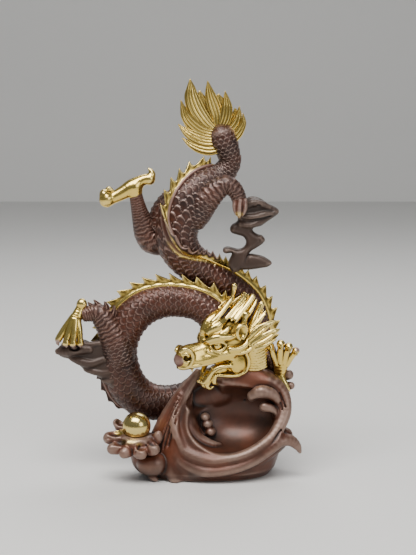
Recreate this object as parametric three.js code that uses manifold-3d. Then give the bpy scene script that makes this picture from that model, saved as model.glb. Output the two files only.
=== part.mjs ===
// A cast brass dragon, 197 mm tall, coiled over a curling wave with a pearl in the wave's cup.
// Three solids: the dragon with its clouds, the wave base it is fixed to, and the polished pearl.
// Millimetres, +Z up, the front of the work faces -Y, and the origin is in the middle of the underside.
import * as THREE from "three";
import { mergeVertices } from "three/addons/utils/BufferGeometryUtils.js";
import Module from "manifold-3d";

const wasm = await Module();
wasm.setup();

// ---------------------------------------------------------------- driving dimensions

const FIT_GAP = 0.3; // clearance between two separate pieces that meet
const PEARL = { x: -35.2, y: -20, z: 27.9, radius: 7 };

// Centre line of the body from the neck to the tail's end: x, y, z, radius, then the direction of its back.
const BODY = [
  [12, -8, 70, 8.0, 0.95, -0.1, 0.3],
  [4, -5, 79, 8.2, 0.75, -0.1, 0.65],
  [-5, -3, 86, 8.4, 0.4, -0.2, 0.9],
  [-18, -1, 88, 8.7, -0.05, -0.2, 1],
  [-29, 0, 85.5, 9.0, -0.45, -0.2, 0.85],
  [-37, 0, 80, 9.3, -0.7, -0.15, 0.7],
  [-43, 0, 71, 9.5, -0.95, -0.1, 0.35],
  [-45, 0, 59, 9.5, -1, 0, 0],
  [-41.5, 2, 45, 9.8, -0.85, 0, -0.55],
  [-33.5, 5, 36, 9.6, -0.6, 0.1, -0.8],
  [-22, 9, 33, 9.0, -0.2, 0.3, -0.95],
  [-8, 13, 35.5, 8.5, 0.3, 0.4, -0.9],
  [6, 16, 43, 8.5, 0.65, 0.4, -0.65],
  [18, 17, 55, 9.0, 0.95, 0.25, -0.3],
  [22.5, 16, 69.5, 9.3, 1, 0.1, 0.1],
  [19, 13, 83, 9.3, 0.85, 0, 0.5],
  [9, 8, 93.5, 9.3, 0.6, -0.2, 0.8],
  [-2, 3, 101.5, 9.3, 0.6, -0.6, 0.55],
  [-11, -1, 109, 9.6, 0.35, -0.9, 0.25],
  [-15.5, -4, 118, 10.5, -0.1, -1, 0],
  [-14, -4, 128, 10.6, -0.8, -0.6, 0.1],
  [-9.5, -3, 137, 10.0, -0.85, -0.25, 0.5],
  [-2.5, -1, 144.5, 8.3, -0.5, -0.2, 0.85],
  [6, 2, 149.5, 6.6, -0.55, -0.1, 0.85],
  [11, 3, 156, 5.6, -0.95, 0, 0.3],
  [10.5, 2, 163, 5.2, -1, 0, 0],
  [6.5, 0, 169.5, 4.8, -0.85, 0, -0.5],
];
const BODY_SIDES = 9;
const BODY_STEPS = 42;

// The two runs of the fin along the back: spike height at places along BODY, counted in its points.
const FIN_RUNS = [
  [[0.6, 4.5], [3, 5.2], [6, 4.6], [7, 3.0], [8.8, 1.4]],
  [[13, 3], [14, 4.6], [16, 3.4], [19, 2.6], [21, 3.8], [22.9, 2.4]],
];
const FIN_PITCH = 6.4; // along the body's centre line
const FIN_HALF_WIDTH = 1.5;

// The head's own axes: forward along the snout, left towards the front of the work, and up.
const HEAD_AT = new THREE.Vector3(4.1, -12, 66.6);
const HEAD_YAW = THREE.MathUtils.degToRad(28);
const HEAD_PITCH = THREE.MathUtils.degToRad(12);

// ---------------------------------------------------------------- curves and shells

const vec = (p) => new THREE.Vector3(p[0], p[1], p[2]);
const curveOf = (points) =>
  new THREE.CatmullRomCurve3(points.map(vec), false, "catmullrom", 0.5);

// The value of one column of a point table at curve parameter t, between its two points.
function columnAt(points, column, t) {
  const place = t * (points.length - 1);
  const i = Math.min(Math.floor(place), points.length - 2);
  return THREE.MathUtils.lerp(
    points[i][column],
    points[i + 1][column],
    place - i,
  );
}

// A closed mesh through rings of points, with a point at each end that closes it.
function shell(rings, startTip, endTip) {
  const n = rings[0].length;
  const points = [...rings.flat(), startTip, endTip];
  const first = points.length - 2;
  const index = [];
  for (let i = 0; i + 1 < rings.length; i++) {
    for (let j = 0; j < n; j++) {
      const a = i * n + j;
      const b = i * n + ((j + 1) % n);
      index.push(a, b, b + n, a, b + n, a + n);
    }
  }
  const last = (rings.length - 1) * n;
  for (let j = 0; j < n; j++) {
    const k = (j + 1) % n;
    index.push(first, k, j, first + 1, last + j, last + k);
  }
  return new THREE.BufferGeometry().setFromPoints(points).setIndex(index);
}

// A closed geometry as a manifold-3d solid with its faces pointing out.
function solidOf(geometry) {
  const bare = geometry.clone();
  bare.deleteAttribute("normal");
  bare.deleteAttribute("uv");
  const merged = mergeVertices(bare, 1e-4);
  const triVerts = new Uint32Array(merged.index.array);
  const make = () =>
    new wasm.Manifold(
      new wasm.Mesh({
        numProp: 3,
        vertProperties: merged.attributes.position.array,
        triVerts,
      }),
    );
  const solid = make();
  if (solid.volume() > 0) return solid;
  for (let i = 0; i < triVerts.length; i += 3)
    [triVerts[i + 1], triVerts[i + 2]] = [triVerts[i + 2], triVerts[i + 1]];
  return make();
}

const fuse = (solids) => solids.reduce((all, one) => all.add(one));

// The outer shell of a solid, without loose crumbs and with the small voids between its rods filled.
const mainBody = (solid) =>
  solid
    .decompose()
    .reduce((big, one) => (one.volume() > big.volume() ? one : big));

// A round rod through points [x, y, z, radius], with blunt pointed ends.
// flat gives an axis along which it is thinner, and the share of the radius left there.
function rod(points, { sides = 7, steps, flat, grow = 0 } = {}) {
  const curve = curveOf(points);
  const count = steps ?? 2 * (points.length - 1);
  const rings = [];
  let across = flat
    ? vec(flat.axis)
    : new THREE.Vector3(0.31, -0.87, 0.38);
  let tips = [];
  for (let i = 0; i <= count; i++) {
    const t = i / count;
    const at = curve.getPoint(t);
    const along = curve.getTangent(t);
    const radius = columnAt(points, 3, t) + grow;
    across = (flat ? vec(flat.axis) : across).clone();
    across.addScaledVector(along, -across.dot(along)).normalize();
    const other = new THREE.Vector3().crossVectors(along, across);
    const thin = flat ? radius * flat.share : radius;
    rings.push(
      Array.from({ length: sides }, (_, j) => {
        const a = (2 * Math.PI * j) / sides;
        return at
          .clone()
          .addScaledVector(across, thin * Math.cos(a))
          .addScaledVector(other, radius * Math.sin(a));
      }),
    );
    if (i === 0) tips.push(at.clone().addScaledVector(along, -0.5 * radius));
    if (i === count)
      tips.push(at.clone().addScaledVector(along, 0.5 * radius));
  }
  return solidOf(shell(rings, tips[0], tips[1]));
}

// An ellipsoid at a point, turned by Euler angles in radians.
function egg(at, radii, { turn = [0, 0, 0], grow = 0, fine = 1 } = {}) {
  const geometry = new THREE.SphereGeometry(
    1,
    Math.round(12 * fine),
    Math.round(8 * fine),
  );
  geometry.scale(radii[0] + grow, radii[1] + grow, radii[2] + grow);
  geometry.applyMatrix4(
    new THREE.Matrix4().makeRotationFromEuler(new THREE.Euler(...turn)),
  );
  geometry.translate(...at);
  return solidOf(geometry);
}

// ---------------------------------------------------------------- body and fin

const bodyCurve = curveOf(BODY);

// Position, tangent, back direction and radius at a place counted in BODY's points.
function bodyFrame(place) {
  const t = place / (BODY.length - 1);
  const at = bodyCurve.getPoint(t);
  const along = bodyCurve.getTangent(t);
  const back = new THREE.Vector3(
    columnAt(BODY, 4, t),
    columnAt(BODY, 5, t),
    columnAt(BODY, 6, t),
  );
  back.addScaledVector(along, -back.dot(along)).normalize();
  const side = new THREE.Vector3().crossVectors(along, back);
  return { at, along, back, side, radius: columnAt(BODY, 3, t) };
}

function bodySolid(grow) {
  const rings = [];
  for (let i = 0; i <= BODY_STEPS; i++) {
    const f = bodyFrame(((BODY.length - 1) * i) / BODY_STEPS);
    rings.push(
      Array.from({ length: BODY_SIDES }, (_, j) => {
        const a = (2 * Math.PI * j) / BODY_SIDES;
        return f.at
          .clone()
          .addScaledVector(f.back, (f.radius + grow) * Math.cos(a))
          .addScaledVector(f.side, (f.radius + grow) * Math.sin(a));
      }),
    );
  }
  const start = bodyFrame(0);
  const end = bodyFrame(BODY.length - 1);
  return solidOf(
    shell(
      rings,
      start.at.clone().addScaledVector(start.along, -4 - grow),
      end.at.clone().addScaledVector(end.along, 4 + grow),
    ),
  );
}

function finHeight(run, place) {
  const k = Math.max(1, run.findIndex(([at]) => at >= place));
  const [a, ha] = run[k - 1];
  const [b, hb] = run[k];
  return THREE.MathUtils.mapLinear(place, a, b, ha, hb);
}

// A saw-toothed crest whose spikes lean towards the tail: three points a ring, a foot each side and a top.
function finSolid(run, grow) {
  const rings = [];
  const to = run.at(-1)[0];
  const ring = (place, share, lean) => {
    const f = bodyFrame(place);
    const foot = f.at.clone().addScaledVector(f.back, f.radius - 1.2);
    const half = FIN_HALF_WIDTH + grow;
    rings.push([
      foot.clone().addScaledVector(f.side, -half),
      foot.clone().addScaledVector(f.side, half),
      f.at
        .clone()
        .addScaledVector(f.back, f.radius + grow + share * finHeight(run, place))
        .addScaledVector(f.along, lean),
    ]);
  };
  for (let place = run[0][0]; place < to; ) {
    const gap = bodyFrame(place).at.distanceTo(bodyFrame(place + 0.25).at);
    const step = (0.25 * FIN_PITCH) / gap;
    ring(place, 0.3, 0);
    ring(Math.min(place + 0.62 * step, to), 1, 0.32 * FIN_PITCH);
    place += step;
  }
  const mid = (r) => r[0].clone().add(r[1]).multiplyScalar(0.5);
  return solidOf(shell(rings, mid(rings[0]), mid(rings.at(-1))));
}

// ---------------------------------------------------------------- legs and feet

// One limb: a list of [x, y, z, radius] from inside the body to the wrist, then its toes.
const LIMBS = {
  foreLeft: {
    limb: [
      [-44, -3, 63, 7.4],
      [-47.5, -5, 70, 6.6],
      [-52, -6, 79, 5.8],
      [-57, -6, 81.6, 4.6],
      [-65, -8, 81, 3.3],
    ],
    palm: [
      [-62.6, -7, 87, 1.8],
      [-64.6, -7.5, 83, 2.8],
      [-67, -9, 78, 3.4],
      [-67.6, -10, 74, 3.2],
    ],
    toes: [
      [[-67, -8, 78, 2.1], [-70.5, -9, 74.5, 1.9], [-72.8, -10, 71.7, 1.6], [-73.6, -9, 68.4, 0.8]],
      [[-67, -11, 77, 2], [-68.3, -12.5, 73, 1.9], [-68.7, -12.5, 70, 1.7], [-68.7, -10.5, 67.5, 0.8]],
      [[-66, -11, 77, 2], [-65.7, -12.8, 73, 1.9], [-65.4, -13, 70, 1.7], [-65.4, -11, 67.5, 0.8]],
      [[-65, -9.5, 77, 2], [-63.2, -10.5, 73, 1.9], [-62.4, -11, 70, 1.7], [-62.2, -9, 67.5, 0.8]],
    ],
  },
  foreRight: {
    limb: [
      [22, 14, 66, 8],
      [28, 9, 60, 6.5],
      [33, 4, 53.5, 5.2],
      [36, -1, 51, 3.8],
    ],
    palm: [
      [36.4, -1, 48, 3],
      [36.4, -3, 54, 3.6],
      [37, -4, 59, 4.4],
    ],
    toes: [
      [[35, -4.5, 58, 2.6], [32.6, -6.4, 63, 2.4], [31.8, -7.6, 66.2, 2.1], [33, -9.6, 63.8, 0.8]],
      [[36, -5, 59, 2.6], [36.4, -7.2, 64, 2.4], [36.8, -8.2, 67, 2.1], [37.4, -10.2, 64.2, 0.8]],
      [[37.6, -5, 59, 2.6], [39.8, -6.7, 63.6, 2.3], [41.2, -7.5, 66, 2.1], [42, -9.6, 63.2, 0.8]],
      [[38.6, -4, 58, 2.6], [42.2, -5.2, 61.2, 2.2], [44.4, -5.6, 63, 2], [46, -6.6, 60.2, 0.8]],
      [[36.6, -3, 50, 2.2], [38.2, -4.5, 46.8, 1.8], [40.6, -5, 43, 0.8]],
    ],
  },
  hindLeft: {
    limb: [
      [-17, 2, 122, 10],
      [-24, 3, 120, 9.2],
      [-29.5, 1, 118, 7.4],
      [-31.8, -1, 124, 6],
      [-34.4, -3, 133, 3.9],
      [-35.6, -4, 139, 3.2],
      [-36.6, -4.4, 144, 3],
    ],
    palm: [
      [-28, -4, 149.4, 3.6],
      [-34, -4.4, 146.4, 3.3],
      [-41, -5, 142.6, 3.5],
      [-50, -6.5, 138.8, 3.6],
    ],
    toes: [
      [[-29, -4, 150, 2.4], [-28.6, -4, 153, 1.8], [-30.2, -4, 155, 0.8]],
      [[-48, -9, 139, 2.6], [-51.6, -10.5, 138, 2.1], [-51.6, -11, 135.6, 1.2]],
      [[-48, -6.5, 138.6, 2.6], [-52.2, -7, 138, 2.2], [-51.4, -7.5, 135, 1.2]],
      [[-48, -3.5, 139.4, 2.6], [-51.8, -3, 139, 2.1], [-51.4, -2.5, 136, 1.2]],
      [[-48.5, -5, 141, 1.8], [-50, -5, 143.2, 1.4]],
    ],
  },
  hindRight: {
    limb: [
      [-7, -6, 131, 8.5],
      [-1, -8, 138, 7.6],
      [5, -9, 144, 5.4],
      [9.5, -9, 147.8, 4.6],
      [14, -8.5, 143.5, 4],
      [17, -7.5, 138, 3.6],
    ],
    palm: [
      [15.6, -8, 139, 3.2],
      [17.4, -8, 135, 3.6],
      [18, -7, 131.5, 3.2],
    ],
    toes: [
      [[16, -9, 134, 1.8], [14.6, -10.5, 130.6, 1.6], [15.2, -9, 127, 0.8]],
      [[18, -10, 134, 1.8], [17.8, -11, 130.4, 1.6], [18.6, -9, 126.6, 0.8]],
      [[20, -9, 134, 1.8], [21.4, -9.5, 130.6, 1.6], [22.4, -7, 127, 0.8]],
    ],
  },
};

// Pointed tufts of hair at the joints: [x, y, z, radius] from root to tip.
const TUFTS = [
  [[-53, -5, 82, 4.4], [-55, -4, 86, 3], [-56, -3.5, 89, 0.8]],
  [[-50, -4, 81, 4], [-51.5, -3, 86, 2.4], [-53, -2.5, 88, 0.8]],
  [[8, -9, 146, 4.2], [8.4, -9, 150, 2.8], [8, -9, 153.5, 0.8]],
];

function limbSolids(grow) {
  const made = TUFTS.map((t) => rod(t, { sides: 4, steps: 2, grow }));
  for (const { limb, palm, toes } of Object.values(LIMBS)) {
    made.push(rod(limb, { sides: 7, steps: limb.length, grow }));
    made.push(rod(palm, { sides: 5, steps: 3, grow }));
    for (const toe of toes) made.push(rod(toe, { sides: 4, steps: 2, grow }));
  }
  return made;
}

// ---------------------------------------------------------------- head

const headForward = new THREE.Vector3(
  -Math.cos(HEAD_PITCH) * Math.cos(HEAD_YAW),
  -Math.cos(HEAD_PITCH) * Math.sin(HEAD_YAW),
  -Math.sin(HEAD_PITCH),
);
const headLeft = new THREE.Vector3(
  Math.sin(HEAD_YAW),
  -Math.cos(HEAD_YAW),
  0,
);
const headUp = new THREE.Vector3().crossVectors(headForward, headLeft);
const headTurn = new THREE.Euler().setFromRotationMatrix(
  new THREE.Matrix4().makeBasis(headForward, headLeft, headUp),
);

// [forward, left, up, radius] in the head's own axes, as [x, y, z, radius] of the part.
function inHead([a, b, c, radius]) {
  const p = HEAD_AT.clone()
    .addScaledVector(headForward, a)
    .addScaledVector(headLeft, b)
    .addScaledVector(headUp, c);
  return [p.x, p.y, p.z, radius];
}

const HEAD_MIDDLE_RODS = [
  [[2, 0, 3, 7.4], [8, 0, 0.6, 5.4], [14, 0, -0.4, 4.6], [19, 0, -0.6, 4.2], [21, 0, -0.8, 3.6]],
  [[-11, 0, -8, 7], [-3, 0, -10.6, 5], [4, 0, -11.4, 3.2], [9.5, 0, -13.4, 1.8]],
];
const HEAD_MIDDLE_EGGS = [
  { at: [-8, 0, 3.4], radii: [13, 9.2, 10.8] },
];
// Made twice, on the head's left and mirrored on its right: brow, lip with the cheek ridge, nostril,
// lower lip with its beard, ear loop, short horn knob, long horn and stick horn.
const HEAD_PAIR_RODS = [
  [[7, 3, 6, 1.6], [3, 6, 6.6, 2.4], [-1, 7.8, 6.2, 2.4], [-5, 8.6, 9.4, 1.4]],
  [[20.6, 2.4, -4, 1.5], [12.9, 4.6, -3.8, 1.6], [2.8, 7, -4, 1.7], [-8, 9.2, -4.6, 1.6], [-14, 9.4, -1.4, 1]],
  [[17, 4, -2, 1], [16.4, 4, 2, 1.2], [19.5, 3.2, 3.6, 1.4], [21.4, 3, 1.4, 1]],
  [[-3, 6.4, -11, 1.8], [3, 4.8, -8.8, 1.7], [8, 3, -13, 1.6], [8.4, 2, -18, 0.8]],
  [[-5.6, 9, 5.4, 1.8], [-9.2, 9.8, 7.4, 2.6], [-12.4, 9.4, 9.6, 1.6]],
  [[-12, 5, 7, 2], [-15.3, 5, 10.4, 1.9], [-17, 5, 14, 1.6]],
  [[-13, 5, 3.4, 2.2], [-19.5, 5, 8, 2.1], [-25.8, 5.5, 15.8, 1.5]],
  [[-12, 5.6, 14, 1.9], [-16.6, 5.2, 20, 1.6], [-18.4, 5, 25.4, 1.5]],
];
// The mane's locks, the pointed leaves of the ear and the hair behind the jaw, made twice as well.
const HEAD_PAIR_LOCKS = [
  [[3, 1.6, 11.6, 2], [-3.9, 2, 16.8, 2.2], [-11.9, 3, 21.6, 0.9]],
  [[-2, 3.2, 13, 2.4], [-9, 2.4, 16.8, 2.4], [-16, 2, 20, 0.9]],
  [[-6, 5.4, 12, 2.4], [-13, 3.6, 17.4, 2.5], [-19.8, 3, 22, 0.9]],
  [[-8, 6, 10, 2.6], [-16, 4.4, 15.4, 2.6], [-22.9, 4, 20, 0.9]],
  [[-12, 9, -1, 2.4], [-20, 11, 4, 2.6], [-27, 12, 7.6, 0.8]],
  [[-13, 9.4, -2.6, 2.4], [-21.7, 11.6, 0, 2.6], [-29.7, 12, 1.8, 0.8]],
  [[-10, 7.4, -9, 4], [-18, 9, -10, 3], [-25, 9, -9.6, 1]],
];
const HEAD_PAIR_EGGS = [
  { at: [3, 6.4, 1.6], radii: [2.6, 1.8, 2.2] },
  { at: [-6, 6, -9.6], radii: [6, 3.4, 6.4] },
  { at: [-1, 3.6, 9.6], radii: [5.4, 3.8, 3.6] },
];

const mirrored = (p) => [p[0], -p[1], ...p.slice(2)];

function headSolids(grow) {
  const made = [];
  const headEgg = (at, radii, fine) =>
    egg(inHead(at).slice(0, 3), radii, {
      turn: headTurn.toArray().slice(0, 3),
      fine,
      grow,
    });
  for (const points of HEAD_MIDDLE_RODS)
    made.push(rod(points.map(inHead), { sides: 6, steps: 3, grow }));
  for (const { at, radii } of HEAD_MIDDLE_EGGS) made.push(headEgg(at, radii, 0.9));
  for (const points of HEAD_PAIR_RODS)
    for (const side of [points, points.map(mirrored)])
      made.push(rod(side.map(inHead), { sides: 4, steps: points.length - 1, grow }));
  for (const points of HEAD_PAIR_LOCKS)
    for (const side of [points, points.map(mirrored)])
      made.push(rod(side.map(inHead), { sides: 3, steps: 2, grow }));
  for (const { at, radii } of HEAD_PAIR_EGGS)
    for (const side of [at, mirrored(at)])
      made.push(headEgg(side, radii, 0.5));
  return made;
}

// ---------------------------------------------------------------- tail tuft and clouds

// Flames of the tail, each from its root in the tail's end to its tip: [x, z] tip, then root width.
const FLAMES = [
  { tip: [-12.8, 168], width: 3.4, bow: -2.4 },
  { tip: [-14.9, 174.6], width: 4, bow: -3 },
  { tip: [-13, 186], width: 4.6, bow: -3.6 },
  { tip: [-8.9, 196.6], width: 5.4, bow: -3 },
  { tip: [0, 195.6], width: 5.2, bow: -1 },
  { tip: [8.3, 190.9], width: 4.8, bow: 1.4 },
  { tip: [15.3, 183.6], width: 4.4, bow: 3.6 },
  { tip: [2, 162.8], width: 3, bow: -1 },
];
const FLAME_ROOT = [6, 169.5];
const FLAME_THICKNESS = 4.4;

function flameSolids(grow) {
  return FLAMES.map(({ tip, width, bow }) => {
    const [x0, z0] = FLAME_ROOT;
    const [dx, dz] = [tip[0] - x0, tip[1] - z0];
    const length = Math.hypot(dx, dz);
    const at = (share, radius) => {
      const push = bow * Math.sin(Math.PI * share) * 0.8;
      return [
        x0 + dx * share + (push * dz) / length,
        0.5 - 1.6 * Math.sin(Math.PI * share),
        z0 + dz * share - (push * dx) / length,
        radius,
      ];
    };
    return rod([at(0.08, width * 0.7), at(0.45, width), at(0.75, width * 0.85), at(0.99, 0.5)], {
      sides: 4,
      steps: 3,
      flat: { axis: [0, 1, 0], share: FLAME_THICKNESS / 2 / width },
      grow,
    });
  });
}

// A flat cloud: a smooth outline in x and z, and its front and back in y.
const CLOUDS = [
  {
    name: "under the left forepaw",
    outline: [
      [-72, 66.4], [-66, 69], [-61.6, 67.6], [-58, 66.2], [-54, 69], [-47, 68], [-42, 57],
      [-45, 47], [-50, 46.6], [-54.6, 49], [-59.6, 50.2], [-63, 53.4], [-68, 57], [-75.6, 60.4],
    ],
    front: -10,
    back: -1,
  },
  {
    name: "at the right hind foot",
    outline: [
      [15, 137], [18.5, 138.6], [22, 139.6], [27, 138.4], [31, 136], [34.8, 133], [33.4, 130],
      [29.5, 127.4], [25.5, 125], [22.6, 122.6], [27, 120], [28.3, 117.6], [25.6, 115], [21.6, 112.4],
      [19.8, 109.6], [23.4, 110.8], [27, 110], [32, 107], [30.8, 104.8], [26.8, 103.8], [22.4, 103.4],
      [18.6, 99], [13, 98], [10, 104], [5, 110], [8, 114], [14, 113], [17.4, 114.4], [18.8, 118],
      [15.8, 121], [11.2, 122.4], [11, 124.6], [14.6, 128.8],
    ],
    front: -7,
    back: 3,
  },
];
const CLOUD_BEVEL = 1.2;

function cloudSolid({ outline, front, back }, grow) {
  const edge = new THREE.SplineCurve(
    [...outline, outline[0]].map(([x, z]) => new THREE.Vector2(x, z)),
  ).getPoints(outline.length);
  edge.pop();
  const geometry = new THREE.ExtrudeGeometry(new THREE.Shape(edge), {
    depth: back - front - 2 * CLOUD_BEVEL,
    bevelEnabled: true,
    bevelThickness: CLOUD_BEVEL + grow,
    bevelSize: CLOUD_BEVEL,
    bevelOffset: grow - CLOUD_BEVEL,
    bevelSegments: 1,
  });
  geometry.rotateX(Math.PI / 2);
  geometry.translate(0, back - CLOUD_BEVEL, 0);
  return solidOf(geometry);
}

function dragonSolid(grow) {
  return mainBody(
    fuse([
      bodySolid(grow),
      ...FIN_RUNS.map((run) => finSolid(run, grow)),
      ...limbSolids(grow),
      ...headSolids(grow),
      ...flameSolids(grow),
      ...CLOUDS.map((c) => cloudSolid(c, grow)),
    ]),
  );
}

// ---------------------------------------------------------------- wave base

// Level cuts of the wave's mass: height, then the left, right, front and back limits.
const WAVE_LEVELS = [
  [0, -33, 31, -21, 22],
  [4, -35.5, 34, -24, 24],
  [10, -33, 35.5, -25, 23],
  [18, -28, 37.5, -24, 18],
  [28, -23.5, 40, -20, 14],
  [38, -17.5, 41.5, -16, 12],
  [47, -10, 39, -12.5, 11],
  [52, -3, 33, -10, 9],
];
const WAVE_SIDES = 20;
const WAVE_SQUARENESS = 2.4; // 2 is an ellipse

function waveMass() {
  const rings = WAVE_LEVELS.map(([z, left, right, front, back]) =>
    Array.from({ length: WAVE_SIDES }, (_, j) => {
      const a = (2 * Math.PI * j) / WAVE_SIDES;
      const bulge = (v) => Math.sign(v) * Math.abs(v) ** (2 / WAVE_SQUARENESS);
      return new THREE.Vector3(
        (left + right) / 2 + ((right - left) / 2) * bulge(Math.cos(a)),
        (front + back) / 2 + ((back - front) / 2) * bulge(Math.sin(a)),
        z,
      );
    }),
  );
  return solidOf(
    shell(rings, new THREE.Vector3(0, 0, 0), new THREE.Vector3(15, 0, 54.6)),
  );
}

// The bowl scooped out of the wave's front, and the deeper scoop where the body shows behind it.
const SCOOPS = [
  { at: [12.5, -23, 32], radii: [24, 23, 17.5] },
  { at: [0, -8, 38], radii: [11, 12, 9] },
];

// Ridges of water that stand out of the wave: [x, y, z, radius].
const RIDGES = [
  [[-20, -17, 30, 2], [-17, -21, 22, 2.6], [-9, -24, 13.5, 2.6], [3.5, -25.5, 10.6, 2.6], [16, -25.5, 12.6, 2.6],
    [27, -23.5, 17.4, 2.6], [36, -19.5, 25.4, 2.6], [39.4, -15, 35, 2.6], [37.4, -11.5, 43.4, 2.6],
    [30, -9.5, 49.4, 2.8], [18.4, -10.5, 50.6, 2.8], [8.4, -12.5, 48.8, 1]],
  [[-23, -17, 24, 2], [-20, -21, 14, 2.6], [-12, -25, 7.4, 2.8], [2.5, -27, 4.4, 2.8], [18, -26.5, 6.8, 2.8],
    [29.5, -24, 12.6, 2.8], [36.5, -20.5, 18, 4], [41.6, -17.5, 17.4, 3.6], [46, -15.5, 13.4, 1.6]],
  [[-31, -13, 6, 3.4], [-25.4, -16, 14, 3.6], [-21.4, -16.5, 27, 3.4], [-16.4, -14.5, 39, 2.8], [-9.4, -12, 48, 2.2],
    [-3, -9.5, 54.6, 1.2]],
  [[-26, -19, 6, 3.4], [-18.5, -19, 20, 4], [-15, -17, 32, 3.4], [-11, -14, 42, 2.6], [-4, -10.5, 51.6, 1.8]],
  [[20.4, -7, 37.6, 3.4], [22, -13, 42.4, 3.6], [26.8, -16.6, 44.6, 3.4], [32, -16, 42.6, 3], [34, -12.6, 38, 2]],
  [[37, -8, 30, 2.8], [33, -13, 35.4, 3], [28.6, -16, 37.4, 2.8], [25.4, -16, 34.6, 1.6]],
  [[-4, -2, 29, 2.6], [0, -9, 25, 2.8], [-0.6, -11, 21.4, 2.4], [2.4, -12, 16.6, 2.4]],
  [[33, 3, 47, 2.6], [41, 0, 49.4, 2.5]],
  [[35, 2, 43, 2], [42.4, -1, 43.8, 1.8]],
];

// The shell that holds the pearl, and what carries it.
const CUP_EGGS = [
  { at: [-31, -15, 12], radii: [8, 8, 10] },
  { at: [-28.5, -20, 7.6], radii: [7.4, 6.5, 7.2] },
  { at: [-46.4, -21, 22.4], radii: [5.6, 5, 3.8] },
  { at: [-42.5, -27, 19.6], radii: [5, 4.5, 3.6] },
  { at: [-35.5, -29, 18.4], radii: [5.4, 4, 3.4] },
  { at: [-28, -27, 19.6], radii: [5, 4, 3.8] },
  { at: [-43.5, -13, 26.6], radii: [3.6, 4, 4] },
  { at: [-35, -17, 20], radii: [9.4, 8, 7] },
];

function baseSolid() {
  const scooped = SCOOPS.reduce(
    (mass, { at, radii }) => mass.subtract(egg(at, radii, { fine: 0.9 })),
    waveMass(),
  );
  const floor = new THREE.BoxGeometry(200, 200, 60);
  floor.translate(0, 0, -30);
  const whole = fuse([
    scooped,
    ...RIDGES.map((r) => rod(r, { sides: 4, steps: r.length - 1 })),
    ...CUP_EGGS.map(({ at, radii }) => egg(at, radii, { fine: 0.6 })),
  ])
    .subtract(solidOf(floor))
    .subtract(
      egg([PEARL.x, PEARL.y, PEARL.z], Array(3).fill(PEARL.radius + FIT_GAP), {
        fine: 1.4,
      }),
    )
    .subtract(dragonSolid(FIT_GAP));
  return mainBody(whole);
}

// ---------------------------------------------------------------- the three pieces

const DRAGON_BROWN = { color: 0x4a2a22, roughness: 0.42, metalness: 0.7 };
const WAVE_BROWN = { color: 0x50332a, roughness: 0.38, metalness: 0.7 };
const POLISHED_BRASS = { color: 0xc8a24a, roughness: 0.18, metalness: 1 };

function meshOf(name, solid, finish) {
  const { vertProperties, triVerts } = solid.getMesh();
  const geometry = new THREE.BufferGeometry();
  geometry.setAttribute(
    "position",
    new THREE.BufferAttribute(new Float32Array(vertProperties), 3),
  );
  geometry.setIndex(new THREE.BufferAttribute(new Uint32Array(triVerts), 1));
  geometry.computeVertexNormals();
  const mesh = new THREE.Mesh(geometry, new THREE.MeshStandardMaterial(finish));
  mesh.name = name;
  return mesh;
}

const sculpture = new THREE.Group();
sculpture.add(
  meshOf("dragon", dragonSolid(0), DRAGON_BROWN),
  meshOf("wave_base", baseSolid(), WAVE_BROWN),
);

const pearl = new THREE.Mesh(
  new THREE.SphereGeometry(PEARL.radius, 14, 9),
  new THREE.MeshStandardMaterial(POLISHED_BRASS),
);
pearl.name = "pearl";
pearl.position.set(PEARL.x, PEARL.y, PEARL.z);
sculpture.add(pearl);

export default sculpture;
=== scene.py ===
"""The finished look of the cast dragon: scales, hair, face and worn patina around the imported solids."""

import math

import bpy
import numpy as np
import openvdb

from mathutils import Matrix, Vector


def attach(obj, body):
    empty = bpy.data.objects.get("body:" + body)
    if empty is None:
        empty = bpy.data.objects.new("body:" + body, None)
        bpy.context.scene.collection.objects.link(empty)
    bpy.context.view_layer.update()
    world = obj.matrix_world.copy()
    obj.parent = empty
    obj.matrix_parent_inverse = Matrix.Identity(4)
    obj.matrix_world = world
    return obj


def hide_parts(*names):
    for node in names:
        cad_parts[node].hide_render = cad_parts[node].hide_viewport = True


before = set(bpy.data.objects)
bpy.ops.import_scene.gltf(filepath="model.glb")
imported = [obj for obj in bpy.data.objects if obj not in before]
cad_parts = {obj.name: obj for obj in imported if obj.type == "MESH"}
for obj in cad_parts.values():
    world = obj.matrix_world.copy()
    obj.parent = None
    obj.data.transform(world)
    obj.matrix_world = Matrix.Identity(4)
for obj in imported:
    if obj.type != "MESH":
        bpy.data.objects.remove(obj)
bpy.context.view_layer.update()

MM = 0.001
FINE = 1.0  # mesh resolution against the final one

# ---------------------------------------------------------------- curves


def spline(points, t):
    """Points of a smooth curve through rows of numbers, at parameters t from 0 to 1."""
    p = np.asarray(points, float)
    q = np.vstack([2 * p[0] - p[1], p, 2 * p[-1] - p[-2]])
    x = np.clip(t, 0, 1) * (len(p) - 1)
    i = np.minimum(x.astype(int), len(p) - 2)
    w = (x - i)[:, None]
    a, b, c, d = q[i], q[i + 1], q[i + 2], q[i + 3]
    return 0.5 * (
        2 * b
        + (c - a) * w
        + (2 * a - 5 * b + 4 * c - d) * w**2
        + (3 * b - a - 3 * c + d) * w**3
    )


def unit(v):
    return v / np.maximum(np.linalg.norm(v, axis=-1, keepdims=True), 1e-9)


def smooth(x, low, high):
    """0 below low, 1 above high, and a soft step between them."""
    t = np.clip((x - low) / (high - low), 0, 1)
    return t * t * (3 - 2 * t)


def evenly(points, step):
    """Parameters that cut a curve into equal lengths of about step, and the length at each."""
    t = np.linspace(0, 1, 60 * len(points))
    xyz = spline(points, t)[:, :3]
    run = np.concatenate([[0], np.cumsum(np.linalg.norm(np.diff(xyz, axis=0), axis=1))])
    lengths = np.linspace(0, run[-1], max(int(run[-1] / step), 4) + 1)
    return np.interp(lengths, run, t), lengths


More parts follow.
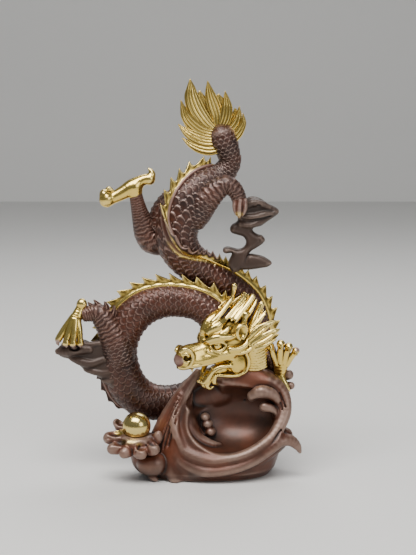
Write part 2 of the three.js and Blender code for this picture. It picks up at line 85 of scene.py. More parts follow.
def frames(centre, guide):
    """Tangent and two cross axes along a line of points; the first cross axis keeps near guide."""
    along = unit(np.gradient(centre, axis=0))
    first = np.array(np.broadcast_to(guide, centre.shape), float)
    first = unit(first - (first * along).sum(1, keepdims=True) * along)
    return along, first, np.cross(along, first)


# ---------------------------------------------------------------- meshes

pieces = []


def add_piece(name, node, points, faces, material, **values):
    """A mesh in millimetres that stands for part of a CAD node. faces is a list of index arrays."""
    mesh = bpy.data.meshes.new(name)
    mesh.vertices.add(len(points))
    mesh.vertices.foreach_set("co", (np.asarray(points, np.float32) * MM).ravel())
    corners = np.concatenate([f.ravel() for f in faces]).astype(np.int32)
    sizes = np.concatenate([np.full(len(f), f.shape[1]) for f in faces])
    starts = np.concatenate([[0], np.cumsum(sizes)[:-1]]).astype(np.int32)
    mesh.loops.add(len(corners))
    mesh.loops.foreach_set("vertex_index", corners)
    mesh.polygons.add(len(sizes))
    mesh.polygons.foreach_set("loop_start", starts)
    mesh.update(calc_edges=True)
    mesh.shade_smooth()
    for key, value in values.items():
        data = np.broadcast_to(np.asarray(value, np.float32), (len(points),))
        layer = mesh.attributes.new(key, "FLOAT", "POINT")
        layer.data.foreach_set("value", np.ascontiguousarray(data))
    mesh.materials.append(material)
    piece = bpy.data.objects.new(name, mesh)
    bpy.context.scene.collection.objects.link(piece)
    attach(piece, "root")
    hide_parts(node)
    pieces.append(piece)
    return piece


def sweep(centre, first, second, x, y):
    """A closed skin through rings: centre + x * first + y * second, with a point closing each end."""
    rings, around = x.shape
    points = (
        centre[:, None] + x[..., None] * first[:, None] + y[..., None] * second[:, None]
    )
    i, j = np.meshgrid(np.arange(rings - 1), np.arange(around), indexing="ij")
    k = (j + 1) % around
    a, b = i * around + j, i * around + k
    sides = np.stack([a, b, b + around, a + around], -1).reshape(-1, 4)
    j = np.arange(around)
    k = (j + 1) % around
    total = rings * around
    last = total - around
    head = np.stack([np.full(around, total), k, j], -1)
    tail = np.stack([np.full(around, total + 1), last + j, last + k], -1)
    ends = np.stack([points[0].mean(0), points[-1].mean(0)])
    return np.vstack([points.reshape(-1, 3), ends]), [sides, head, tail]


def with_ends(value, shape):
    """Values on rings, plus those of the two closing points."""
    value = np.broadcast_to(value, shape)
    return np.concatenate([value.ravel(), [value[0].mean(), value[-1].mean()]])


# ---------------------------------------------------------------- clay


def blur(volume, reach):
    """The mean over a cube of 2 * reach + 1 cells, taken one axis at a time."""
    for axis in range(3):
        v = np.moveaxis(volume, axis, 0)
        padded = np.concatenate([v[:1].repeat(reach + 1, 0), v, v[-1:].repeat(reach, 0)])
        run = np.cumsum(padded, axis=0, dtype=np.float32)
        mean = (run[2 * reach + 1 :] - run[: -2 * reach - 1]) / (2 * reach + 1)
        volume = np.moveaxis(mean, 0, axis)
    return volume


class Clay:
    """A distance field on a grid, built by adding and digging rounded shapes, then skinned."""

    FAR = 4.0

    def __init__(self, low, high, step):
        step = step / FINE
        self.low = np.array(low, float)
        self.step = step
        count = np.ceil((np.array(high) - self.low) / step).astype(int) + 1
        self.axes = [self.low[i] + step * np.arange(count[i]) for i in range(3)]
        self.field = np.full(count, self.FAR, np.float32)

    def window(self, low, high):
        cut = tuple(
            slice(
                max(np.searchsorted(axis, lo), 1),
                min(np.searchsorted(axis, hi), len(axis) - 1),
            )
            for axis, lo, hi in zip(self.axes, low, high)
        )
        x, y, z = (axis[s] for axis, s in zip(self.axes, cut))
        return cut, x[:, None, None], y[None, :, None], z[None, None, :]

    def merge(self, cut, distance, soft, dig):
        old = self.field[cut]
        a, b = (-old, distance) if dig else (old, distance)
        share = np.clip(0.5 + 0.5 * (b - a) / soft, 0, 1)
        new = b * (1 - share) + a * share - soft * share * (1 - share)
        if dig:
            # digging keeps what is in the old shape and out of the new one
            share = np.clip(0.5 + 0.5 * (old + distance) / soft, 0, 1)
            new = -distance * (1 - share) + old * share + soft * share * (1 - share)
        self.field[cut] = new

    def stroke(self, points, soft=0.5, dig=False, flat=None, smoothness=3):
        """A round rod through rows of x, y, z, radius. flat is an axis and the share of radius left along it."""
        points = np.asarray(points, float)
        if len(points) > 1:
            count = smoothness * (len(points) - 1)
            points = spline(points, np.linspace(0, 1, count + 1))
        else:
            points = np.vstack([points, points + [1e-3, 0, 0, 0]])
        margin = points[:, 3].max() + 2.2 + soft
        cut, x, y, z = self.window(
            points[:, :3].min(0) - margin, points[:, :3].max(0) + margin
        )
        distance = np.full(self.field[cut].shape, 9.0, np.float32)
        for a, b in zip(points[:-1], points[1:]):
            reach = max(a[3], b[3]) + 2.2 + soft
            low = np.minimum(a, b)[:3] - reach
            high = np.maximum(a, b)[:3] + reach
            part, px, py, pz = self.window(low, high)
            inner = tuple(
                slice(p.start - c.start, p.stop - c.start) for p, c in zip(part, cut)
            )
            way = (b - a)[:3]
            t = (px - a[0]) * way[0] + (py - a[1]) * way[1] + (pz - a[2]) * way[2]
            t = np.clip(t / max(way @ way, 1e-9), 0, 1)
            dx, dy, dz = (
                px - a[0] - t * way[0],
                py - a[1] - t * way[1],
                pz - a[2] - t * way[2],
            )
            if flat is not None:
                axis, share = np.array(flat[0], float), flat[1]
                axis = axis / np.linalg.norm(axis)
                off = (dx * axis[0] + dy * axis[1] + dz * axis[2]) * (1 / share - 1)
                dx, dy, dz = dx + off * axis[0], dy + off * axis[1], dz + off * axis[2]
            d = np.sqrt(dx * dx + dy * dy + dz * dz) - (a[3] + t * (b[3] - a[3]))
            if flat is not None:
                d = d * (0.5 + 0.5 * share)
            distance[inner] = np.minimum(distance[inner], d)
        self.merge(cut, distance, soft, dig)

    def egg(self, at, radii, soft=0.8, dig=False, axes=None):
        """An ellipsoid; axes holds its own three directions as rows."""
        at, radii = np.asarray(at, float), np.asarray(radii, float)
        margin = radii.max() + 2.2 + soft
        cut, x, y, z = self.window(at - margin, at + margin)
        p = np.stack(np.broadcast_arrays(x - at[0], y - at[1], z - at[2]), -1)
        if axes is not None:
            p = p @ np.asarray(axes, float).T
        near = np.sqrt(((p / radii) ** 2).sum(-1))
        slope = np.sqrt(((p / radii**2) ** 2).sum(-1))
        self.merge(cut, near * (near - 1) / np.maximum(slope, 1e-6), soft, dig)

    def slab(self, outline, front, back, rounding, soft=0.5):
        """A plate with a smooth outline in x and z, between two y values, with rounded rims."""
        closed = np.vstack([outline[-2:], outline, outline[:3]])
        n = len(outline)
        t = (2 + np.arange(6 * n) / 6) / (len(closed) - 1)
        edge = spline(closed, t)
        low = [edge[:, 0].min() - 3, front - 3, edge[:, 1].min() - 3]
        high = [edge[:, 0].max() + 3, back + 3, edge[:, 1].max() + 3]
        cut, x, y, z = self.window(low, high)
        px, pz = np.broadcast_arrays(x[:, 0], z[:, 0])
        near = np.full(px.shape, 1e9)
        inside = np.zeros(px.shape, bool)
        for (ax, az), (bx, bz) in zip(edge, np.roll(edge, -1, axis=0)):
            wx, wz = bx - ax, bz - az
            t = np.clip(
                ((px - ax) * wx + (pz - az) * wz) / max(wx * wx + wz * wz, 1e-9), 0, 1
            )
            near = np.minimum(near, np.hypot(px - ax - t * wx, pz - az - t * wz))
            if wz:
                crosses = ((az > pz) != (bz > pz)) & (px < ax + (pz - az) / wz * wx)
                inside ^= crosses
        flat = np.where(inside, -near, near)[:, None, :] + rounding
        deep = np.abs(y - (front + back) / 2) - (back - front) / 2 + rounding
        deep = np.broadcast_to(deep, np.broadcast_shapes(flat.shape, deep.shape))
        flat = np.broadcast_to(flat, deep.shape)
        distance = (
            np.hypot(np.maximum(flat, 0), np.maximum(deep, 0))
            + np.minimum(np.maximum(flat, deep), 0)
            - rounding
        )
        self.merge(cut, distance, soft, False)

    def skin(self):
        grid = openvdb.FloatGrid(self.FAR)
        grid.copyFromArray(np.ascontiguousarray(self.field, np.float32))
        points, quads = grid.convertToQuads(0.0)
        return points.astype(float) * self.step + self.low, quads.astype(np.int64)

    def at(self, volume, points):
        """The field's value at points, read between its cells."""
        p = np.clip(
            (points - self.low) / self.step, 0, np.array(volume.shape) - 1.001
        )
        i = p.astype(int)
        w = p - i
        value = 0
        for corner in np.ndindex(2, 2, 2):
            c = np.array(corner)
            share = np.prod(np.where(c, w, 1 - w), axis=1)
            j = i + c
            value = value + share * volume[j[:, 0], j[:, 1], j[:, 2]]
        return value

    def relief(self, points, reach):
        """How far points stand out (above 0) or lie in a hollow (below 0), over a distance in mm."""
        cells = max(int(round(reach / self.step)), 1)
        return self.at(blur(blur(self.field, cells), cells), points) / reach


def cast_clay(name, node, clay, material, place=None, fine=0.6, broad=2.0, **values):
    """Skins clay and adds it as a piece; values are functions of its points, in the clay's own axes,
    and of how deep they lie."""
    points, quads = clay.skin()
    near, far = clay.relief(points, fine), clay.relief(points, broad)
    worn = smooth(near, 0.04, 0.3) * smooth(far, -0.25, 0.1)
    # deep darkens hollows of the clay as painted shade, with the patina that sits in them
    deep = np.maximum(smooth(-near, 0.03, 0.3), smooth(-far, 0.06, 0.5))
    own = {key: value(points, deep) for key, value in values.items()}
    world = points if place is None else place(points)
    return add_piece(
        name, node, world, [quads], material, worn=worn, deep=deep, **own
    )


# ---------------------------------------------------------------- finishes


def node_of(tree, kind, inputs=None, **settings):
    made = tree.nodes.new(kind)
    for key, value in settings.items():
        setattr(made, key, value)
    for key, value in (inputs or {}).items():
        if isinstance(value, bpy.types.NodeSocket):
            tree.links.new(value, made.inputs[key])
        else:
            made.inputs[key].default_value = value
    return made


def metal(name, dark, warm, worn_tint, satin):
    """A cast metal with a brown patina, rubbed on its edges, darker in its hollows from patina and painted shade, that
    is bright brass where gold is 1.
    """
    material = bpy.data.materials.new(name)
    material.use_nodes = True
    tree = material.node_tree
    tree.nodes.clear()

    def read(key):
        return node_of(tree, "ShaderNodeAttribute", attribute_name=key).outputs["Fac"]

    def mix(factor, a, b):
        made = node_of(tree, "ShaderNodeMix", data_type="RGBA")
        for value, socket in ((factor, 0), (a, 6), (b, 7)):
            if isinstance(value, bpy.types.NodeSocket):
                tree.links.new(value, made.inputs[socket])
            else:
                made.inputs[socket].default_value = value
        return made.outputs[2]

    def math_of(kind, a, b, c=None):
        made = node_of(tree, "ShaderNodeMath", operation=kind)
        for socket, value in enumerate((a, b) if c is None else (a, b, c)):
            if isinstance(value, bpy.types.NodeSocket):
                tree.links.new(value, made.inputs[socket])
            else:
                made.inputs[socket].default_value = value
        return made.outputs[0]

    place = node_of(tree, "ShaderNodeTexCoord").outputs["Object"]

    def noise(scale, detail, rough=0.5):
        made = node_of(
            tree,
            "ShaderNodeTexNoise",
            {"Vector": place, "Scale": scale, "Detail": detail, "Roughness": rough},
        )
        return made.outputs["Fac"]

    worn, deep, gold, warmth = (read(k) for k in ("worn", "deep", "gold", "warm"))
    cloudy = noise(90, 3)
    patch = noise(260, 4, 0.6)
    tone = math_of("MULTIPLY_ADD", cloudy, 1.8, -0.5)
    tone = math_of("ADD", tone, warmth)
    tone = node_of(tree, "ShaderNodeClamp", {"Value": tone}).outputs[0]
    brown = mix(tone, (*dark, 1), (*warm, 1))
    rub = math_of("MULTIPLY", worn, math_of("MULTIPLY_ADD", patch, 0.9, 0.25))
    brown = mix(rub, brown, (*worn_tint, 1))
    # painted shade: the brown is mixed towards a quarter of its dark tone where deep is high, for shade in crevices and
    # under edges as well as the patina left in the hollows
    brown = mix(
        math_of("MULTIPLY", deep, 0.9), brown, tuple(0.25 * v for v in dark) + (1,)
    )
    grain = noise(2600, 2)
    bump = node_of(
        tree,
        "ShaderNodeBump",
        {"Strength": 0.12, "Distance": 0.0002, "Height": math_of("ADD", grain, patch)},
    ).outputs["Normal"]
    rough = math_of("MULTIPLY_ADD", patch, 0.16, satin)
    rough = math_of("MULTIPLY_ADD", deep, 0.18, rough)
    patina = node_of(
        tree,
        "ShaderNodeBsdfPrincipled",
        {
            "Base Color": brown,
            "Metallic": 0.4,
            "Roughness": rough,
            "Normal": bump,
            "Coat Weight": 0.15,
            "Coat Roughness": 0.25,
        },
    )
    # painted shade: the brass turns dark olive where deep is high, partly patina in the hollows and partly shade
    tint = mix(deep, (0.74, 0.53, 0.13, 1), (0.10, 0.062, 0.016, 1))
    tint = mix(math_of("MULTIPLY", worn, 0.45), tint, (0.9, 0.74, 0.32, 1))
    shine = math_of("MULTIPLY_ADD", patch, 0.14, 0.14)
    shine = math_of("MULTIPLY_ADD", deep, 0.3, shine)
    bright = node_of(
        tree,
        "ShaderNodeBsdfPrincipled",
        {"Base Color": tint, "Metallic": 1.0, "Roughness": shine, "Normal": bump},
    )
    blend = node_of(tree, "ShaderNodeMixShader", {0: gold})
    tree.links.new(patina.outputs[0], blend.inputs[1])
    tree.links.new(bright.outputs[0], blend.inputs[2])
    out = node_of(tree, "ShaderNodeOutputMaterial")
    tree.links.new(blend.outputs[0], out.inputs["Surface"])
    return material


DRAGON = metal(
    "dragon_patina_and_shade", (0.03, 0.012, 0.008), (0.12, 0.034, 0.016), (0.42, 0.29, 0.24), 0.3
)
CLOUD = metal(
    "cloud_patina_and_shade", (0.028, 0.016, 0.011), (0.07, 0.038, 0.026), (0.2, 0.14, 0.11), 0.42
)
WAVE = metal(
    "wave_patina_and_shade", (0.04, 0.018, 0.011), (0.14, 0.042, 0.02), (0.3, 0.2, 0.155), 0.3
)

pearl_finish = bpy.data.materials.new("pearl_brass")
pearl_finish.use_nodes = True
pearl_tree = pearl_finish.node_tree
pearl_bsdf = pearl_tree.nodes["Principled BSDF"]
pearl_bsdf.inputs["Base Color"].default_value = (0.72, 0.56, 0.2, 1)
pearl_bsdf.inputs["Metallic"].default_value = 1.0
pearl_bsdf.inputs["Roughness"].default_value = 0.16
scuffs = node_of(pearl_tree, "ShaderNodeTexNoise", {"Scale": 500, "Detail": 3})
scuff_bump = node_of(
    pearl_tree,
    "ShaderNodeBump",
    {"Strength": 0.08, "Distance": 0.0002, "Height": scuffs.outputs["Fac"]},
)
pearl_tree.links.new(scuff_bump.outputs["Normal"], pearl_bsdf.inputs["Normal"])

# ---------------------------------------------------------------- body

# Neck to tail: x, y, z, radius, then the direction of the back.
BODY = np.array(
    [
        [12, -8, 70, 8.0, 0.95, -0.1, 0.3],
        [4, -5, 79, 8.2, 0.75, -0.1, 0.65],
        [-5, -3, 86, 8.4, 0.4, -0.35, 0.9],
        [-18, -1, 88, 8.7, -0.05, -0.35, 1],
        [-29, 0, 85.5, 9.0, -0.45, -0.2, 0.85],
        [-37, 0, 80, 9.3, -0.7, -0.15, 0.7],
        [-43, 0, 71, 9.5, -0.95, -0.1, 0.35],
        [-45, 0, 59, 9.5, -1, 0, 0],
        [-41.5, 2, 45, 9.8, -0.85, 0, -0.55],
        [-33.5, 5, 36, 9.6, -0.6, 0.1, -0.8],
        [-22, 9, 33, 9.0, -0.2, 0.3, -0.95],
        [-8, 13, 35.5, 8.5, 0.3, 0.4, -0.9],
        [6, 16, 43, 8.5, 0.65, 0.4, -0.65],
        [18, 17, 55, 9.0, 0.95, 0.25, -0.3],
        [22.5, 16, 69.5, 9.3, 1, 0.1, 0.1],
        [19, 13, 83, 9.3, 0.85, 0, 0.5],
        [9, 10, 93.5, 9.3, 0.6, -0.25, 0.75],
        [-2, 5.5, 101.5, 9.3, 0.6, -0.5, 0.6],
        [-11, 1, 109, 9.6, 0.5, -0.8, 0.4],
        [-15.5, -3.4, 118, 10.5, 0.1, -1, 0.1],
        [-14.6, -4, 128, 11, -0.5, -0.88, 0.1],
        [-10.6, -3, 137, 10.8, -0.62, -0.7, 0.38],
        [-3, -1, 145, 8.8, -0.5, -0.35, 0.8],
        [6, 2, 149.5, 6.6, -0.55, -0.1, 0.85],
        [10.8, 3, 156, 5.6, -0.95, 0, 0.3],
        [9.8, 2, 162, 6.0, -1, 0, 0.1],
        [7.6, 0.6, 168, 6.8, -0.9, 0, -0.2],
        [5.2, -0.8, 175.4, 6.4, -0.9, 0, -0.4],
    ],
    float,
)
SCALES_AROUND = 14
ROW_PITCH = 0.3  # between rows of scales, against the radius
LAST_ROW = len(BODY) - 1


def body_at(place):
    """Centre, tangent, back, side and radius at places counted in BODY's rows."""
    row = spline(BODY, place / LAST_ROW)
    ahead = spline(BODY, (place + 0.01) / LAST_ROW)
    behind = spline(BODY, (place - 0.01) / LAST_ROW)
    along = unit(ahead[:, :3] - behind[:, :3])
    back = row[:, 4:7]
    back = unit(back - (back * along).sum(1, keepdims=True) * along)
    # the far end is rounded off and tucked in
    radius = row[:, 3] * np.sqrt(
        np.clip(1 - np.clip((place - LAST_ROW + 1) / 1.0, 0, 1) ** 2, 0.003, 1)
    )
    return row[:, :3], along, back, np.cross(along, back), radius


def scales(u, v, tip=1.0):
    """Overlapping scales: height from 0 to 1, how much is rubbed edge, and how deep beside an edge, which is used as
    painted shade with some patina.
    u counts scales around and v counts rows, growing towards the free edges."""
    row = np.floor(v)

    def across(r):
        off = u - 0.5 * np.mod(r, 2)
        return off - np.round(off)

    def reach(off):
        return np.maximum(1 - (2 * np.abs(off)) ** 2.4, 0) ** 0.5 * tip

    # the free edge of the row before this one, which covers this row up to there
    over = across(row - 1)
    edge = row + reach(over)
    covered = v < edge
    du = np.where(covered, over, across(row))
    own_row = np.where(covered, row - 1, row)
    climb = np.clip((v - own_row) / 2, 0, 1)
    to_rim = own_row + 1 + reach(du) - v
    rim = 1 - smooth(to_rim, 0.1, 0.32)
    height = 0.55 * climb + 0.4 * rim - 0.35 * (2 * du) ** 2 * (1 - rim)
    # the free edge rounds over on to the row it covers
    height = 0.2 + (height - 0.2) * smooth(to_rim, -0.04, 0.2)
    # painted shadow just past the free edge of the covering row, and painted shade in the groove inside each scale's
    # own rim, with some patina in these crevices
    beside = np.where(covered, 9, v - edge)
    shade = 1 - smooth(beside, 0.0, 0.4)
    return height, rim, np.maximum(shade, 0.5 * (1 - smooth(to_rim - 0.42, 0, 0.5)) * (1 - rim))


def body_piece(name, start, end, around, step):
    """A length of the body between two places along BODY, with its scales and belly plates."""
    places = np.linspace(start, end, 900)
    xyz = body_at(places)[0]
    run = np.concatenate([[0], np.cumsum(np.linalg.norm(np.diff(xyz, axis=0), axis=1))])
    count = int(run[-1] / step * FINE)
    places = np.interp(np.linspace(0, run[-1], count), run, places)
    centre, along, back, side, radius = body_at(places)
    # rows of scales are counted from the neck, so the two lengths of the body meet
    whole = np.linspace(0, LAST_ROW, 2000)
    at = spline(BODY, whole / LAST_ROW)
    gap = np.linalg.norm(np.diff(at[:, :3], axis=0), axis=1)
    rows = np.concatenate([[0], np.cumsum(gap / (ROW_PITCH * at[1:, 3]))])
    v = np.interp(places, whole, rows)[:, None]
    around = int(around * FINE) // 2 * 2
    theta = np.linspace(0, 2 * np.pi, around, endpoint=False)[None]
    signed = (theta + np.pi) % (2 * np.pi) - np.pi
    from_back = np.abs(signed)
    # rows waver a little, as if cut by hand
    sway = 0.07 * np.sin(3 * theta + 0.9 * v) + 0.05 * np.sin(7 * theta - 0.5 * v)
    height, rim, beside = scales(theta / (2 * np.pi) * SCALES_AROUND, v + sway)
    plate = (v / 1.7) % 1 + 0 * theta
    belly = smooth(from_back, 2.66, 2.72)
    place = places[:, None]
    # a smooth band beside the fin, wide on the upper coil, with a raised edge
    upper = smooth(place, 16.5, 19.5) * (1 - smooth(place, 22.6, 23.4))
    reach = 0.14 + 0.24 * upper * (signed < 0)
    spine = 1 - smooth(from_back, reach - 0.05, reach + 0.02)
    edge = np.exp(-(((from_back - reach) / 0.055) ** 2)) * (0.4 + 0.6 * upper)
    plate_height = 0.9 * plate**0.7 * (1 - smooth(plate, 0.86, 1.0))
    height = height * (1 - belly) + plate_height * belly
    height = height * (1 - spine) + 0.5 * spine + 0.5 * edge * (signed < 0)
    plain = (1 - belly) * (1 - spine)
    rim = rim * plain + belly * smooth(plate, 0.7, 0.85) * 0.6 + 0.7 * edge * (signed < 0)
    # the belly plates take painted shade along the edge of each plate
    beside = beside * plain + belly * (1 - smooth(plate, 0.0, 0.16))
    r = radius[:, None] + 0.1 * np.minimum(radius[:, None], 9) * (height - 0.6)
    # the tail ends in a smooth raised rim
    end_rim = np.exp(-(((place - LAST_ROW + 0.42) / 0.1) ** 2)) + 0 * theta
    rim = np.maximum(rim * (1 - smooth(place, LAST_ROW - 0.4, LAST_ROW - 0.3)), 0.8 * end_rim)
    r = r + 0.3 * end_rim
    points, faces = sweep(centre, back, side, r * np.cos(theta), r * np.sin(theta))
    # gold runs along the edge of the band where the coil passes behind the head
    golden = smooth(place, 14.2, 15) * (1 - smooth(place, 18.6, 19.4))
    gold = golden * np.exp(-(((from_back - reach) / 0.08) ** 2)) * (signed < 0) + 0 * r
    pale = 0.5 + 0.4 * smooth(place, 16, 23) - 0.1 * smooth(place, 6, 9) * (1 - smooth(place, 12, 16))
    warm = 0.35 * (1 - smooth(place, 5, 7)) + 0.3 * smooth(place, 13, 15) * (1 - smooth(place, 18, 20))
    add_piece(
        name,
        "dragon",
        points,
        faces,
        DRAGON,
        worn=with_ends(rim * pale, r.shape),
        # deep is painted shade beside scale and plate edges and low in the relief, with patina in those hollows
        deep=with_ends(np.clip(beside * 0.9 + 0.25 * (0.5 - height), 0, 1), r.shape),
        gold=with_ends(gold, r.shape),
        warm=with_ends(warm, r.shape),
    )


body_piece("body_front", -0.35, 11.0, 160, 0.32)
body_piece("body_rear", 11.0, LAST_ROW, 150, 0.34)

# ---------------------------------------------------------------- fin

# Name, rows of place along BODY and height, and spacing of the teeth.
FIN_RUNS = [
    ("fin_front", [[0.6, 4.4], [3, 5.2], [6, 4.6], [7, 3.0], [8.8, 1.6]], 4.9),
    (
        "fin_rear",
        [[13, 3], [14, 4.6], [16, 3.6], [18, 3.4], [19.5, 4.6], [21, 5.0], [22.6, 3.6], [23.3, 2]],
        4.6,
    ),
]
# where the blades are turned off the back: place along BODY and degrees towards the left of travel
FIN_TURN = [[12, 0], [15.5, 0], [17.5, -28], [19, -30], [20, 20], [21, 38], [22.4, 20], [24, 0]]


def fin_piece(name, run, pitch):
    """The flame-shaped crest: a bead along the back with hooked spikes that lean to the tail."""
    run = np.array(run, float)
    places = np.linspace(run[0, 0], run[-1, 0], 1200)
    xyz = body_at(places)[0]
    length = np.concatenate(
        [[0], np.cumsum(np.linalg.norm(np.diff(xyz, axis=0), axis=1))]
    )
    teeth = length[-1] / pitch
    count = int(teeth * 30 * FINE)
    s = np.linspace(0, length[-1], count)
    places = np.interp(s, length, places)
    centre, along, back, side, radius = body_at(places)
    tall = np.interp(places, run[:, 0], run[:, 1])
    phase = (s / pitch) % 1
    rise = np.where(phase < 0.6, (phase / 0.6) ** 1.5, ((1 - phase) / 0.4) ** 1.5)
    fade = smooth(s, 0, 5) * smooth(length[-1] - s, 0, 5)
    low_part = 0.3
    blade = (low_part + (1 - low_part) * rise) * tall * fade
    turn = np.radians(np.interp(places, *np.array(FIN_TURN).T))[:, None]
    up = back * np.cos(turn) - side * np.sin(turn)
    # half a section, from the body's surface up to the top of the blade
    share = np.array([0, 0, 0, 0.0, 0.12, 0.3, 0.48, 0.66, 0.84, 0.94, 1.0])
    foot = np.array([-1.2, 0.2, 0.75, 1.0, 1.1, 1.1, 1.1, 1.1, 1.1, 1.1, 1.1])
    wide = np.array([1.7, 1.7, 1.35, 0.9, 0.62, 0.5, 0.46, 0.5, 0.62, 0.5, 0.14])
    # two grooves follow each spike up to its point
    both = np.hstack([share, share[::-1]])
    flute = 0.5 + 0.5 * np.cos(2 * np.pi * (phase[:, None] * 2 - 0.2))
    carve = 1 - 0.45 * flute * smooth(both, 0.1, 0.2) * (1 - smooth(both, 0.8, 0.95))
    grow = 0.55 + 0.45 * fade[:, None]
    width = np.hstack([wide, -wide[::-1]]) * grow * carve
    low = np.hstack([foot, foot[::-1]])
    base = low * fade[:, None]
    rise_up = both * blade[:, None]
    lean = both**1.6 * blade[:, None] * 0.75
    points, faces = sweep(centre, back, side, radius[:, None] + base, width)
    shift = rise_up[..., None] * up[:, None] + lean[..., None] * along[:, None]
    points[: base.size] += shift.reshape(-1, 3)
    # painted shade in the valleys between spikes, in their flutes and in the crease where the bead meets the body,
    # partly patina in those hollows
    valley = (1 - rise)[:, None] * (both > 0.1)
    deep = 0.9 * valley * (both < 0.9) + 0.8 * (low < 0)
    deep = np.maximum(deep, 0.9 * (1 - carve) / 0.45)
    # bright on the front of the coil and along the right edge, brown in the middle and low down
    gold = 1 - smooth(places, 5.6, 7.2) * (1 - smooth(places, 12.4, 13.2))
    dull = smooth(places, 16.6, 17.2) * (1 - smooth(places, 19.4, 20.2))
    gold = gold[:, None] * (1 - dull[:, None] * smooth(both, 0.15, 0.4))
    # the bead along its foot stays brown on the upper coil
    gold = gold * (1 - smooth(places, 18.6, 19.6)[:, None] * (both < 0.05))
    add_piece(
        name,
        "dragon",
        points,
        faces,
        DRAGON,
        worn=with_ends(0.9 * (both > 0.8) + 0.6 * (low > 0.7) * (both == 0), base.shape),
        deep=with_ends(np.clip(deep, 0, 1), base.shape),
        gold=with_ends(gold, base.shape),
        warm=0.3,
    )


for fin in FIN_RUNS:
    fin_piece(*fin)

# ---------------------------------------------------------------- legs

def scaly_limb(name, points, around, step, scale_count, guide=(0.3, -0.9, 0.3), row=0.26, waves=0.0):
    """A tapered leg with small scales that point to the foot, or with wavy folds across it."""
    points = np.asarray(points, float)
    t, length = evenly(points, step / FINE)
    path = spline(points, t)
    centre, radius = path[:, :3], path[:, 3]
    along, first, second = frames(centre, guide)
    around = int(around * FINE) // 2 * 2
    theta = np.linspace(0, 2 * np.pi, around, endpoint=False)[None]
    gap = np.diff(length, prepend=0)
    v = np.cumsum(gap / (row * np.maximum(radius, 3)))[:, None]
    v = v + 0.14 * np.sin(5 * theta + 0.7 * v)
    height, rim, beside = scales(theta / (2 * np.pi) * scale_count, v)
    # folds: low wavy ridges that run round the leg
    wave = np.sin(2 * np.pi * (v * 0.62 + 0.1 * np.sin(9 * theta) + 0.08 * np.sin(4 * theta + v)))
    fold = waves * smooth(length, length[-1] * 0.25, length[-1] * 0.5)[:, None]
    height = height * (1 - fold) + fold * (0.5 + 0.5 * wave)
    rim = rim * (1 - fold) + fold * smooth(wave, 0.3, 1.0)
    # the troughs of the folds get painted shade
    beside = beside * (1 - fold) + fold * smooth(-wave, 0.1, 0.9)
    close = smooth(length, 0, 2)[:, None] * smooth(length[-1] - length, 0, 1.5)[:, None]
    r = (radius[:, None] + 0.11 * radius[:, None] * (height - 0.5)) * close**0.5
    points, faces = sweep(centre, first, second, r * np.cos(theta), r * np.sin(theta))
    add_piece(
        name,
        "dragon",
        points,
        faces,
        DRAGON,
        worn=with_ends(rim * 0.75, r.shape),
        # deep is painted shade beside scale edges, in fold troughs and low in the relief, with patina in those hollows
        deep=with_ends(np.clip(beside * 0.8 + 0.2 * (0.5 - height), 0, 1), r.shape),
        gold=0.0,
        warm=0.05,
    )


scaly_limb(
    "leg_fore_left",
    [
        [-42, -3, 54, 6.0],
        [-44.6, -4, 62, 8.0],
        [-47.2, -4.6, 70, 7.2],
        [-50.8, -5.4, 77, 6.0],
        [-54.6, -5.8, 81.6, 5.2],
        [-58.6, -6, 81.8, 4.2],
        [-63.6, -7, 80.6, 3.2],
    ],
    100,
    0.32,
    15,
    row=0.21,
    waves=0.55,
)
scaly_limb(
    "leg_fore_right",
    [[20, 14, 68, 8], [27, 10, 61, 6.8], [32, 5, 54.5, 5.4], [36, 0, 50.5, 4]],
    64,
    0.5,
    14,
)
scaly_limb(
    "leg_hind_left",
    [
        [-13.5, 1, 137, 9.4],
        [-18.5, 1.6, 131, 9.8],
        [-21.8, 2.4, 122.4, 10],
        [-26.4, 2.2, 118.8, 8.9],
        [-30, 0.6, 121, 6.8],
        [-32, -1, 126, 5.5],
        [-33.8, -2.4, 132, 4.2],
        [-35.2, -4, 138.6, 3.4],
        [-36.2, -4.4, 143.6, 3.4],
    ],
    110,
    0.32,
    16,
    row=0.2,
    waves=0.5,
)
scaly_limb(
    "leg_hind_right",
    [
        [-8.5, -5.5, 124, 5],
        [-6, -6.5, 131, 7.2],
        [-1, -7.4, 138.4, 6.8],
        [4.4, -8, 143.6, 5.6],
        [9, -8, 146, 4.8],
        [13, -7.8, 143.4, 4.2],
        [15.2, -7.2, 139, 3.7],
        [16, -7, 135, 3.2],
    ],
    96,
    0.34,
    15,
    waves=0.5,
)

# ---------------------------------------------------------------- locks of hair

def lock(points, ridges=3, flat=0.5, guide=(0, 1, 0), step=0.4, around=48, swirl=0.0):
    """A pointed lock through rows of x, y, z, half width, grooved along its length."""
    points = np.asarray(points, float)
    t, length = evenly(points, step / FINE)
    path = spline(points, t)
    centre = path[:, :3]
    half = np.maximum(path[:, 3], 0.12)
    along, first, second = frames(centre, guide)
    around = max(int(around * FINE) // 2 * 2, 12)
    phi = np.linspace(0, 2 * np.pi, around, endpoint=False)[None]
    across = np.cos(phi)
    groove = 0.5 - 0.5 * np.cos(np.pi * ridges * (across + 1) + swirl)
    ridge = np.sqrt(np.clip(1 - groove, 0, 1))
    body = np.sin(phi) * (1 - 0.62 * (1 - ridge) * smooth(np.abs(np.sin(phi)), 0.1, 0.4))
    start = smooth(length, -0.5, 1.5)[:, None]
    wide = half[:, None] * across * start
    thick = np.minimum(half[:, None], 2.6) * flat * body * start
    points, faces = sweep(centre, first, second, thick, wide)
    # painted shade along the grooves, with patina in them
    deep = with_ends(smooth(groove, 0.5, 1.0), wide.shape)
    worn = with_ends(smooth(ridge, 0.8, 1.0), wide.shape)
    return points, faces, {"deep": deep, "worn": worn}


